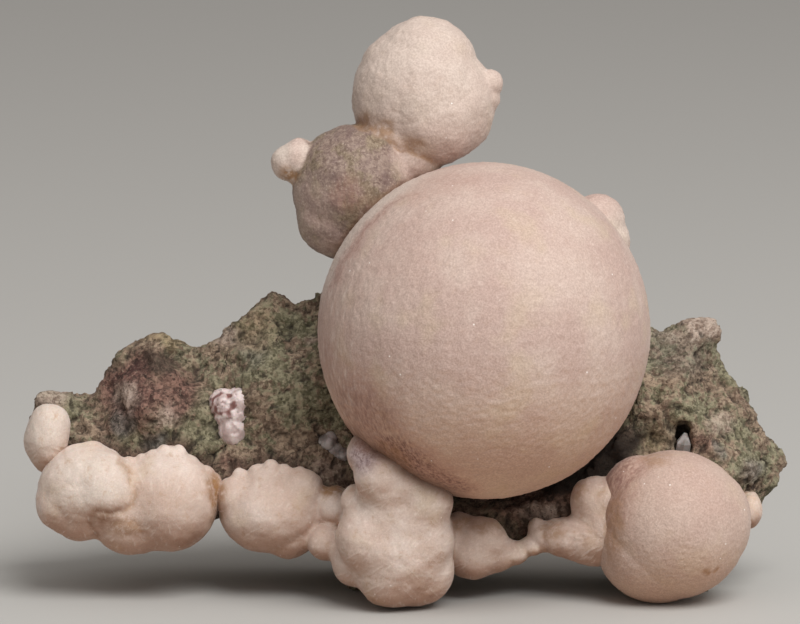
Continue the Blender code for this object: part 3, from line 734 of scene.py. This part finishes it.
def thomsonite(name, ground, light, warm, shade, speckle, velvet, flecks, glow, glints):
    """Radiating zeolite: a mottled ground, crystal ends, streaks, stains and small glints, with
    painted highlights in the glints and painted shade on the downward-facing side and in creases.
    """
    paint = Finish(name, 0.7)
    colour = grown_ground(paint, ground, light, warm, flecks)
    crystals = paint.times(paint.cells(0.24, 33.0, "Color"), 0.25)
    mottle = paint.plus(crystals, paint.times(paint.noise(0.8, 31.0, 5.0, 0.7), 0.75))
    colour = paint.blend(paint.mask("grey"), colour, grey_zone(paint, mottle))
    lilac = paint.blend(paint.between(mottle, 0.36, 0.64), srgb(142, 116, 118), srgb(198, 178, 178))
    colour = paint.blend(paint.mask("lilac"), colour, lilac)

    ends = paint.noise(0.24, 5.0, 2.0, 0.7)
    dark_ends = paint.between(ends, 0.34, 0.62, speckle, 0.0)
    light_ends = paint.between(ends, 0.60, 0.76, 0.0, speckle)
    colour = paint.blend(dark_ends, colour, srgb(128, 98, 84), "MULTIPLY")
    colour = paint.blend(light_ends, colour, srgb(246, 232, 220))
    colour = stained(paint, colour)

    # Painted shade: downward-facing surfaces are darkened and warmed by the shade colour.
    colour = paint.blend(paint.mask("painted_underside_shade"), colour, shade, "MULTIPLY")
    light_fibres = paint.between(paint.mask("fibre"), 0.60, 1.0, 0.0, 0.26)
    dark_fibres = paint.between(paint.mask("fibre"), 0.0, 0.40, 0.26, 0.0)
    colour = paint.blend(light_fibres, colour, srgb(238, 224, 213))
    colour = paint.blend(dark_fibres, colour, srgb(184, 152, 134))
    # Painted shade in creases and where a piece meets another.
    colour = paint.blend(paint.mask("hollow"), colour, srgb(128, 92, 70))

    # Painted highlights: small glints lighten the base colour, and their roughness is lower.
    spot = paint.between(paint.cells(0.6, 23.0), 0.22, 0.12)
    glint = paint.times(spot, paint.between(paint.cells(0.6, 23.0, "Color"), 0.90, 0.905))
    colour = paint.blend(paint.times(glint, glints), colour, srgb(255, 250, 244))
    velvet_ends = paint.plus(ends, paint.times(paint.noise(0.13, 61.0, 1.0), 0.5))
    return paint.apply(
        colour,
        paint.bump(velvet_ends, velvet),
        Roughness=paint.between(glint, 0.0, 1.0, 0.75, 0.3),
        Subsurface_Weight=glow,
        Subsurface_Scale=mm(1.0),
        Sheen_Weight=0.10,
        Sheen_Roughness=0.4,
    )


def basalt(name):
    """Weathered basalt: green, brown and pinkish grains, dark cracks and pale crusts, some of them
    painted light, and painted shade in its hollows.
    """
    paint = Finish(name, 0.9)
    grit = paint.noise(0.30, 18.0, 3.0, 0.75)
    fine = paint.times(paint.cells(0.36, 21.0, "Color"), 0.35)
    coarse = paint.times(paint.cells(0.85, 22.0, "Color"), 0.25)
    clouds = paint.times(paint.noise(1.0, 23.0, 4.0, 0.7), 0.4)
    grain = paint.plus(paint.plus(fine, coarse), clouds)

    def grains(dark, light):
        return paint.blend(paint.between(grain, 0.30, 0.68), srgb(*dark), srgb(*light))

    broad = paint.noise(5.0, 2.0, 4.0, 0.6)
    field = paint.plus(broad, paint.times(paint.noise(0.7, 25.0, 2.0), 0.5))
    green = grains((92, 87, 64), (154, 147, 120))
    brown = grains((100, 79, 64), (168, 146, 124))
    colour = paint.blend(paint.between(field, 0.68, 0.84), green, brown)
    colour = paint.blend(paint.mask("maroon"), colour, grains((66, 38, 34), (142, 104, 92)))
    colour = paint.blend(paint.mask("slate"), colour, grains((66, 66, 60), (132, 128, 122)))
    colour = paint.blend(paint.mask("olive"), colour, grains((92, 76, 52), (168, 146, 114)))
    # Pale crusts, and in two patches painted light.
    colour = paint.blend(paint.mask("pale"), colour, grains((140, 118, 104), (202, 182, 168)))
    colour = paint.blend(paint.between(grit, 0.56, 0.72, 0.0, 0.6), colour, srgb(182, 166, 143))
    colour = paint.blend(paint.between(grit, 0.30, 0.46, 0.85, 0.0), colour, srgb(44, 34, 25))
    crack = paint.node("ShaderNodeTexVoronoi", feature="DISTANCE_TO_EDGE")
    bent = paint.node("ShaderNodeVectorMath", operation="ADD")
    paint.feed(paint.grid(2.6, 27.0), bent.inputs[0])
    paint.feed(paint.noise(0.9, 28.0, 3.0), bent.inputs[1])
    paint.feed(bent.outputs[0], crack.inputs["Vector"])
    paint.feed(1.0, crack.inputs["Scale"])
    line = paint.between(crack.outputs["Distance"], 0.01, 0.05, 0.8, 0.0)
    colour = paint.blend(paint.times(line, paint.mask("cracked")), colour, srgb(38, 26, 20))
    # Painted shade in the rock's hollows, below the great sphere and where the rock meets the
    # lumps.
    colour = paint.blend(paint.mask("hollow"), colour, srgb(34, 23, 16))
    normal = paint.bump(paint.plus(grit, paint.times(grain, 1.2)), 0.25)
    return paint.apply(colour, normal)


def zeolite(name, ground, light, spots):
    """Broken white or grey zeolite in the rock, with maroon spots between its blocks."""
    paint = Finish(name, 0.55)
    colour = paint.blend(paint.between(paint.noise(1.2, 4.0, 3.0), 0.4, 0.6), ground, light)
    colour = paint.blend(paint.times(paint.mask("spots"), spots), colour, srgb(112, 62, 54))
    # Painted shade in the gaps between the blocks.
    colour = paint.blend(paint.mask("hollow"), colour, srgb(64, 38, 32))
    normal = paint.bump(paint.noise(0.3, 6.0, 2.0), 0.06)
    return paint.apply(colour, normal, Subsurface_Weight=0.1, Subsurface_Scale=mm(0.8))


def grown_relief(skin, width, height, seed):
    """Uneven growth, as in the part: a broad wave and half as high a wave twice as fine."""
    broad = soft(skin.points, width, seed)
    skin.push(height * (broad + 0.5 * soft(skin.points, width / 2.0, seed + 11.0)))
    skin.settle()


def crystal_ends(skin, width, height, seed):
    """The fine relief of crystal ends."""
    relief = soft(skin.points, width, seed) + 0.6 * soft(skin.points, 0.5 * width, seed + 7.0)
    skin.push(height * relief)


def trimmed(skin):
    """Keeps a piece above the floor and finishes it."""
    skin.points[:, 2] = np.maximum(skin.points[:, 2], 0.0)
    skin.settle()
    return skin


def build_great_sphere():
    """The great sphere, and how mauve it is before the lumps touch it."""
    skin = grow("great_sphere", GREAT_SPHERE, GREAT_VOXEL)
    grown_relief(skin, width=9.0, height=0.10, seed=1.0)
    skin.push(0.03 * domes(skin.points, width=1.4, seed=4.0))
    crystal_ends(skin, width=0.55, height=0.07, seed=6.0)
    trimmed(skin)
    across, high = skin.points[:, 0], skin.points[:, 2]
    coarse, fine = soft(skin.points, 3.0, 72.0), soft(skin.points, 1.0, 73.0)
    depth = skin.points[:, 1] + 1.6 * coarse + 0.8 * fine
    upper_left = ramp(across, 4.0, -5.0) * ramp(high, 36.0, 5.0)
    line = np.exp(-(((depth + 7.2) / 1.1) ** 2)) * upper_left
    # Painted highlight: a paler band along the upper-left limb, where the velvet catches the light.
    painted_rim_highlight = ramp(depth, -6.0, 1.4) * upper_left
    share = patches(skin.points, GREAT_MAUVE, seed=70.0, raggedness=2.0, width=5.0)
    skin.mask("stain", patches(skin.points, GREAT_STAINS, seed=75.0))
    pale = patches(skin.points, GREAT_PALE, seed=77.0, raggedness=0.6)
    skin.mask("pale", np.maximum(pale, 0.6 * painted_rim_highlight))
    # Painted shade on the downward-facing side of the great sphere.
    skin.mask("painted_underside_shade", 0.9 * ramp(skin.normals[:, 2], 0.1, -1.0))
    limb = ramp(across, -3.0, -5.0)
    furrows = soft(skin.points * (2.6, 2.6, 0.5), width=1.0, seed=78.0)
    skin.mask("fibre", 0.5 + 0.8 * limb * furrows)
    return skin, np.maximum(share, 0.62 * line)


def grey_membership(points):
    """1 on the grey sphere, 0 on the others."""
    return (nearest_lobe(points, UPPER_SPHERES) < GREY_LOBES).astype(float)


def build_upper_spheres():
    """The grey sphere, the top sphere and their small bumps."""
    skin = grow("upper_spheres", UPPER_SPHERES, UPPER_VOXEL)
    skin.fill_creases(20, 0.7)
    grown_relief(skin, width=9.0, height=0.10, seed=1.0)
    wander = [soft(skin.points, 1.6, 80.0 + turn) for turn in range(3)]
    ragged = skin.points + 0.5 * np.column_stack(wander)
    grey = skin.blurred(grey_membership(ragged), 3)
    grey *= 1.0 - patches(skin.points, UPPER_NOT_GREY, seed=81.0, raggedness=0.8)
    skin.push(0.20 * domes(skin.points, 1.5, 8.0) + 0.20 * soft(skin.points, 2.6, 14.0))
    skin.settle()
    skin.push((0.09 + 0.05 * grey) * domes(skin.points, 0.75, 10.0))
    crystal_ends(skin, width=0.5, height=0.045, seed=9.0)
    trimmed(skin)

    contact = upper_contact(skin, skin.blurred(grey_membership(ragged), 70))
    stains = patches(skin.points, UPPER_STAINS, seed=82.0, raggedness=0.8, width=1.6)
    skin.mask("stain", np.maximum(0.65 * contact, stains))
    left_side = ramp(skin.points[:, 0], -3.0, -4.0)
    mauve = patches(skin.points, UPPER_MAUVE, seed=83.0)
    skin.mask("mauve", np.maximum(mauve, 0.6 * contact * left_side))
    skin.mask("grey", grey * (1.0 - patches(skin.points, UPPER_LESS_GREY, seed=86.0)))
    skin.mask("fibre", 0.5)
    skin.mask("pale", patches(skin.points, UPPER_PALE, seed=84.0))
    return skin


def upper_contact(skin, belongs):
    """The stained band where the top sphere meets the grey one."""
    contact = ramp(belongs, 0.05, 0.3) * ramp(belongs, 0.62, -0.16)
    broken = ease(1.3 + 1.6 * soft(skin.points, 1.6, 88.0))
    return contact * (ramp(skin.points[:, 0], -9.0, 2.0) * broken)


def build_right_sphere():
    """The sphere at the right end."""
    skin = grow("right_sphere", RIGHT_SPHERE, RIGHT_VOXEL)
    for _ in range(3):
        skin.fill_creases(110, 0.8)
    grown_relief(skin, width=5.0, height=0.10, seed=2.0)
    skin.push(0.05 * domes(skin.points, width=1.3, seed=3.0))
    crystal_ends(skin, width=0.5, height=0.04, seed=12.0)
    trimmed(skin)
    skin.mask("mauve", patches(skin.points, RIGHT_MAUVE, seed=85.0))
    stains = patches(skin.points, RIGHT_STAINS, seed=86.0, raggedness=0.5, width=1.6)
    skin.mask("stain", stains)
    # Painted shade on the downward-facing side of the right sphere.
    skin.mask("painted_underside_shade", 0.7 * ramp(skin.normals[:, 2], 0.1, -1.0))
    skin.mask("fibre", 0.5)
    skin.mask("dull", 0.3)
    return skin


def build_lumps(name, lobes, seed, voxel, stains, creases=()):
    """A cream cluster: lobes with small domes on them, streaks and rusty seams."""
    skin = grow(name, lobes, voxel, 4)
    smooth, lines = even_out(skin, lobes, seed, creases)
    grown_relief(skin, width=2.6, height=0.12, seed=seed)
    uneven = np.maximum(0.35 + 0.65 * soft(skin.points, 4.0, seed + 20.0), 0.0)
    edge = close_to(skin, (cad_tree("matrix"),), 3.0)
    skin.push(0.20 * uneven * domes(skin.points, 2.4, seed + 21.0))
    skin.push(1.1 * edge * domes(skin.points, 1.5, seed + 26.0))
    skin.settle()
    skin.push((0.05 + 0.05 * uneven) * domes(skin.points, 0.9, seed + 22.0))
    skin.settle()
    streaks = rays(skin.points, lobes, seed + 23.0)
    fan = patches(skin.points, ((FAN[1], FAN[2], 1.0),), seed + 28.0)
    skin.push((0.02 + 0.12 * fan + 0.03 * smooth) * streaks)
    crystal_ends(skin, width=0.4, height=0.012, seed=seed + 24.0)
    trimmed(skin)
    skin.mask("fibre", 0.5 + (streaks - 0.5) * (1.0 + 1.2 * fan + 0.4 * smooth))
    rusty = patches(skin.points, stains, seed + 25.0, raggedness=0.8, width=1.6)
    broken = ease(0.8 + 1.5 * soft(skin.points, 2.4, seed + 30.0))
    skin.mask("stain", np.maximum(rusty, 0.6 * lines * broken))
    # Painted shade on the downward-facing side of the lumps.
    skin.mask("painted_underside_shade", 0.9 * ramp(skin.normals[:, 2], 0.15, -0.9))
    return skin


def even_out(skin, lobes, seed, creases):
    """Fills what the lobes leave between them, and presses in the creases that the photo shows."""
    small = np.array([knob_share(np.min(radii)) for _, radii in lobes])
    knobs = skin.blurred(small[nearest_lobe(skin.points, lobes)], 4)
    skin.fill_creases(40, 0.75 * (1.0 - knobs))
    skin.fill_creases(24, 0.65 * (1.0 - knobs))
    smooth = patches(skin.points, SMOOTH_LUMPS, seed + 27.0)
    skin.soften(SOFTEN_ROUNDS, smooth)
    lines = along_lines(skin, creases, width=0.4, seed=seed + 29.0)
    skin.push(-0.16 * lines)
    skin.settle()
    return smooth, lines


def knob_share(radius):
    """How far a lobe counts as a knob, whose creases stay: by half for each of two sizes."""
    return 0.5 * (radius < 2.5) + 0.5 * (radius < 1.2)


def build_front_lumps():
    lobes = MIDDLE_LUMP + MIDDLE_KNOBS + CENTRE_LUMP + BRIDGE
    skin = build_lumps("front_lumps", lobes, 2.0, FRONT_VOXEL, FRONT_STAINS)
    skin.mask("lilac", patches(skin.points, FRONT_LILAC, seed=97.0, raggedness=0.6))
    skin.mask("mauve", patches(skin.points, FRONT_MAUVE, seed=98.0, raggedness=0.6))
    skin.mask("dull", patches(skin.points, FRONT_DULL, seed=99.0))
    return skin


def build_left_lumps():
    lobes = LEFT_CLUSTER + LEFT_KNOBS
    skin = build_lumps("left_cluster_lumps", lobes, 3.0, LUMP_VOXEL, LEFT_STAINS, LEFT_CREASES)
    skin.mask("pale", patches(skin.points, LEFT_PALE, seed=100.0))
    skin.mask("dull", patches(skin.points, LEFT_DULL, seed=99.0))
    return skin


def build_zeolite(name, lobes, seed, whole_below=None):
    """A broken zeolite filling in the rock: small blocks with gaps between them."""
    skin = grow(name, lobes, SMALL_VOXEL, 3)
    broken = 1.0
    if whole_below is not None:
        broken = 0.25 + 0.75 * ramp(skin.points[:, 2], whole_below, 1.2)
    large, small = blocks(skin.points, 1.3, seed), blocks(skin.points, 0.6, seed + 1.0)
    skin.push(broken * (0.24 * large + 0.10 * small))
    skin.settle()
    crystal_ends(skin, width=0.35, height=0.03, seed=seed + 2.0)
    return trimmed(skin)


def crease_mask(skin):
    """1 in the creases between lobes."""
    return ramp(skin.hollow(10, 0.16), 0.3, 1.4)


def close_to(skin, trees, reach):
    """1 where a piece touches another, 0 this far away."""
    return ease(1.0 - distance_to(skin.points, trees, reach) / reach)


def build_rock(hosts):
    """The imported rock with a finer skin, drawn up to the lumps and balls that grew on it."""
    skin = reskin(object_of("basalt_matrix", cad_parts["matrix"].data.copy()), ROCK_VOXEL, 5)
    skin.push(0.40 * blocks(skin.points, 3.2, 31.0) + 0.35 * soft(skin.points, 2.4, 32.0))
    skin.settle()
    skin.push(0.22 * blocks(skin.points, 1.5, 33.0) + 0.18 * soft(skin.points, 1.1, 34.0))
    skin.settle()
    skin.push(0.12 * blocks(skin.points, 0.8, 36.0) + 0.12 * soft(skin.points, 0.6, 35.0))
    skin.settle()
    for tree in tree_of(*hosts):
        draw_up(skin, tree)
    return trimmed(skin)


def draw_up(skin, tree, full=0.75, reach=1.5, sink=0.15):
    """Moves points near another piece onto it, so that no seam gapes between the two."""
    for number, place in enumerate((skin.points * 0.001).tolist()):
        spot, facing, _, away = tree.find_nearest(place, mm(reach))
        if spot is None:
            continue
        share = float(ease((reach - away * 1000.0) / (reach - full)))
        target = (spot - facing * mm(sink)) * 1000.0
        skin.points[number] += share * (np.array(target) - skin.points[number])


def shade_growths(growths, great_tree, rock_tree):
    """Painted shade: darkens the creases of the growths, and where they meet the rock and the great
    sphere.
    """
    for skin in growths:
        at_rock = close_to(skin, (rock_tree,), 0.9)
        at_great = close_to(skin, (great_tree,), 1.8)
        seam = np.maximum(at_rock, at_great)
        skin.mask("hollow", np.maximum(0.4 * crease_mask(skin), 0.7 * seam))


def shade_great_sphere(great, own_mauve, lumps, rock_tree, upper_tree):
    """Painted shade in a dark ring where the lumps grew against the great sphere and where it meets
    the rock and the upper spheres, and a mauve band near the lumps that is partly painted shade.
    """
    ragged = 0.75 + 0.6 * soft(great.points * (1.0, 1.0, 0.5), width=0.7, seed=76.0)
    seam = close_to(great, lumps, 3.2) * ragged
    behind = close_to(great, (rock_tree, upper_tree), 0.8)
    great.mask("hollow", np.maximum(0.6 * behind, 0.85 * seam))
    touch = close_to(great, lumps, 5.0) * (0.75 + 0.25 * soft(great.points, 1.5, 74.0))
    great.mask("mauve", np.maximum(own_mauve, touch))


def shade_zeolite(skin):
    """Painted shade in the gaps between the blocks, and maroon spots on the upper ones."""
    skin.mask("hollow", ramp(skin.hollow(6, 0.16), 0.2, 1.0))
    high = ramp(skin.points[:, 2], 20.6, 1.6)
    skin.mask("spots", high * ease(3.5 * soft(skin.points, 0.8, 90.0) - 0.3))


def painted_crevice_shadow(rock, great_tree):
    """Painted shadow: the dark strip of rock below the great sphere."""
    across, high = rock.points[:, 0], rock.points[:, 2]
    gap = distance_to(rock.points, (great_tree,), 6.5)
    low = ramp(high, 22.5, -4.0) * ramp(across, -4.0, 6.0)
    wide = 2.0 * ramp(across, 14.0, 4.0) * ramp(high, 11.0, 3.0)
    return ease((3.6 + wide - gap) / 1.6) * low


def shade_rock(rock, great_tree, lumps):
    """Painted shade in the rock's hollows, in the strip below the great sphere, in one patch and
    where the rock meets the lumps, which also turns maroon there; and the areas of other colours on
    the rock.
    """
    foot_shade_and_maroon = close_to(rock, lumps, 2.2) * ease(0.9 + 1.6 * soft(rock.points, 1.6, 94.0))
    foot_shade_and_maroon *= 1.0 - patches(rock.points, ROCK_NO_FOOT_SHADE, seed=102.0)
    painted_dip_shade = ramp(rock.hollow(4, 0.12), 0.25, 1.3)
    dark = patches(rock.points, ROCK_PAINTED_SHADE, seed=101.0)
    band = painted_crevice_shadow(rock, great_tree)
    rock.mask("hollow", np.maximum.reduce((0.8 * painted_dip_shade, 0.95 * band, 0.5 * foot_shade_and_maroon, 0.6 * dark)))
    rock.mask("cracked", ease(2.2 * soft(rock.points, 5.0, 95.0) - 0.2))
    slate = patches(rock.points, ROCK_SLATE, seed=96.0, raggedness=1.2, width=2.4)
    maroon = patches(rock.points, ROCK_MAROON, seed=91.0, raggedness=1.6, width=3.0)
    olive = patches(rock.points, ROCK_OLIVE, seed=92.0, raggedness=1.6, width=3.0)
    pale = patches(rock.points, ROCK_PALE_AND_PAINTED_LIGHT, seed=93.0, raggedness=0.8, width=1.6)
    rock.mask("slate", slate)
    rock.mask("maroon", np.maximum(maroon, 0.7 * foot_shade_and_maroon))
    rock.mask("olive", olive)
    rock.mask("pale", pale)


def dress(skin, node, material):
    """Puts a finished piece in the place of its CAD node."""
    thing = skin.thing
    thing.data.materials.clear()
    thing.data.materials.append(material)
    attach(thing, "root")
    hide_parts(node)


def soft_light(name, place, target, size, power, colour):
    data = bpy.data.lights.new(name, "AREA")
    data.shape = "DISK"
    data.size = mm(size)
    data.energy = power
    data.color = colour
    lamp = bpy.data.objects.new(name, data)
    bpy.context.scene.collection.objects.link(lamp)
    lamp.location = mm(place)
    lamp.rotation_mode = "QUATERNION"
    lamp.rotation_quaternion = (mm(target) - mm(place)).to_track_quat("-Z", "Y")


def add_studio():
    floor = bpy.data.meshes.new("floor")
    reach = mm(FLOOR_REACH)
    sides = ((-reach, -reach), (reach, -reach), (reach, reach), (-reach, reach))
    corners = [(across, away, 0.0) for across, away in sides]
    floor.from_pydata(corners, [], [(0, 1, 2, 3)])
    paper = Finish("paper", 0.9)
    paper.feed(srgb(*FLOOR_COLOUR), paper.shader.inputs["Base Color"])
    floor.materials.append(paper.material)
    object_of("floor", floor)

    middle = Vector(LIT_PLACE)
    toward_light = Vector(LIGHT_DIRECTION).normalized()
    place = middle + KEY_DISTANCE * toward_light
    soft_light("key", place, middle, KEY_SIZE, KEY_POWER, KEY_COLOUR)
    add_sky(toward_light)
    bpy.context.scene.view_settings.view_transform = "Standard"


def add_sky(toward_light):
    """A dome of soft light, brightest round the key light and dark on the far side."""
    world = bpy.data.worlds.new("studio")
    world.use_nodes = True
    tree = world.node_tree
    new, link = tree.nodes.new, tree.links.new
    background = tree.nodes["Background"]
    facing = new("ShaderNodeVectorMath")
    facing.operation = "DOT_PRODUCT"
    facing.inputs[1].default_value = toward_light
    link(new("ShaderNodeTexCoord").outputs["Generated"], facing.inputs[0])
    level = new("ShaderNodeMapRange")
    level.inputs["From Min"].default_value = -1.0
    level.inputs["To Min"].default_value = 0.0
    link(facing.outputs["Value"], level.inputs["Value"])
    curve = new("ShaderNodeMath")
    curve.operation = "POWER"
    curve.inputs[1].default_value = SKY_FOCUS
    link(level.outputs["Result"], curve.inputs[0])
    strength = new("ShaderNodeMath")
    strength.operation = "MULTIPLY"
    strength.inputs[1].default_value = SKY_STRENGTH
    link(curve.outputs["Value"], strength.inputs[0])
    link(strength.outputs["Value"], background.inputs["Strength"])
    tint = new("ShaderNodeMix")
    tint.data_type = "RGBA"
    tint.inputs[6].default_value = SKY_FAR_COLOUR
    tint.inputs[7].default_value = SKY_NEAR_COLOUR
    link(level.outputs["Result"], tint.inputs[0])
    link(tint.outputs[2], background.inputs["Color"])
    bpy.context.scene.world = world


def add_camera():
    rise = math.radians(VIEW_RISE)
    data = bpy.data.cameras.new("camera")
    data.sensor_width = SENSOR_WIDTH
    data.lens = SENSOR_WIDTH * VIEW_DISTANCE / VIEW_WIDTH
    data.clip_start = mm(10.0)
    data.clip_end = mm(20000.0)
    camera = bpy.data.objects.new("camera", data)
    bpy.context.scene.collection.objects.link(camera)
    back = Vector((0.0, -math.cos(rise), math.sin(rise)))
    camera.location = mm(VIEW_TARGET) + mm(VIEW_DISTANCE) * back
    camera.rotation_mode = "QUATERNION"
    camera.rotation_quaternion = (-back).to_track_quat("-Z", "Y")
    bpy.context.scene.camera = camera


def thomsonite_materials():
    """The tan velvet of the balls and the cream wax of the lumps."""
    tan = thomsonite(
        "thomsonite_tan_velvet",
        ground=srgb(194, 167, 156),
        light=srgb(204, 181, 169),
        warm=srgb(203, 181, 158),
        shade=srgb(255, 227, 198),
        speckle=0.22,
        velvet=0.05,
        flecks=0.12,
        glow=0.0,
        glints=0.7,
    )
    cream = thomsonite(
        "thomsonite_cream_wax",
        ground=srgb(208, 184, 170),
        light=srgb(221, 203, 192),
        warm=srgb(212, 190, 164),
        shade=srgb(204, 172, 152),
        speckle=0.10,
        velvet=0.04,
        flecks=0.50,
        glow=0.05,
        glints=0.4,
    )
    return tan, cream


def dress_crystal():
    """The vug crystal keeps its CAD solid and gets a material."""
    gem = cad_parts["vug_crystal"]
    gem.data.materials.clear()
    look = zeolite("zeolite_crystal", srgb(128, 122, 118), srgb(166, 160, 158), 0.0)
    gem.data.materials.append(look)


def main():
    great, great_mauve = build_great_sphere()
    upper = build_upper_spheres()
    right = build_right_sphere()
    front = build_front_lumps()
    left = build_left_lumps()
    end = build_lumps("end_lump_skin", END_LUMP, 4.0, SMALL_VOXEL, END_STAINS)
    rear = build_lumps("rear_lump_skin", REAR_LUMP, 5.0, SMALL_VOXEL, REAR_STAINS)
    end.mask("pale", 0.8)
    white = build_zeolite("white_zeolite", WHITE_AMYGDULE, 6.0, whole_below=20.8)
    grey = build_zeolite("grey_zeolite", GREY_AMYGDULE, 7.0)
    rock = build_rock((great, upper, right, front, left, end, rear, white, grey))

    great_tree, upper_tree, rock_tree = tree_of(great, upper, rock)
    lumps = tree_of(front, left, end)
    shade_growths((front, left, end, rear, right), great_tree, rock_tree)
    shade_great_sphere(great, great_mauve, lumps, rock_tree, upper_tree)
    # Painted shade in the creases of the upper spheres and where they meet the great sphere.
    at_great = close_to(upper, (great_tree,), 0.9)
    upper.mask("hollow", np.maximum(0.7 * crease_mask(upper), 0.5 * at_great))
    shade_zeolite(white)
    shade_zeolite(grey)
    shade_rock(rock, great_tree, lumps)

    tan, cream = thomsonite_materials()
    stone = basalt("basalt_weathered")
    milky = zeolite("zeolite_white", srgb(186, 164, 160), srgb(222, 206, 203), 0.9)
    smoky = zeolite("zeolite_grey", srgb(136, 126, 123), srgb(190, 181, 179), 0.0)
    dress(great, "sphere_group", tan)
    dress(upper, "sphere_group", tan)
    dress(right, "front_cluster", tan)
    dress(front, "front_cluster", cream)
    dress(left, "left_cluster", cream)
    dress(end, "end_lump", cream)
    dress(rear, "rear_lump", cream)
    dress(white, "white_amygdule", milky)
    dress(grey, "grey_amygdule", smoky)
    dress(rock, "matrix", stone)
    dress_crystal()
    add_studio()
    add_camera()


main()
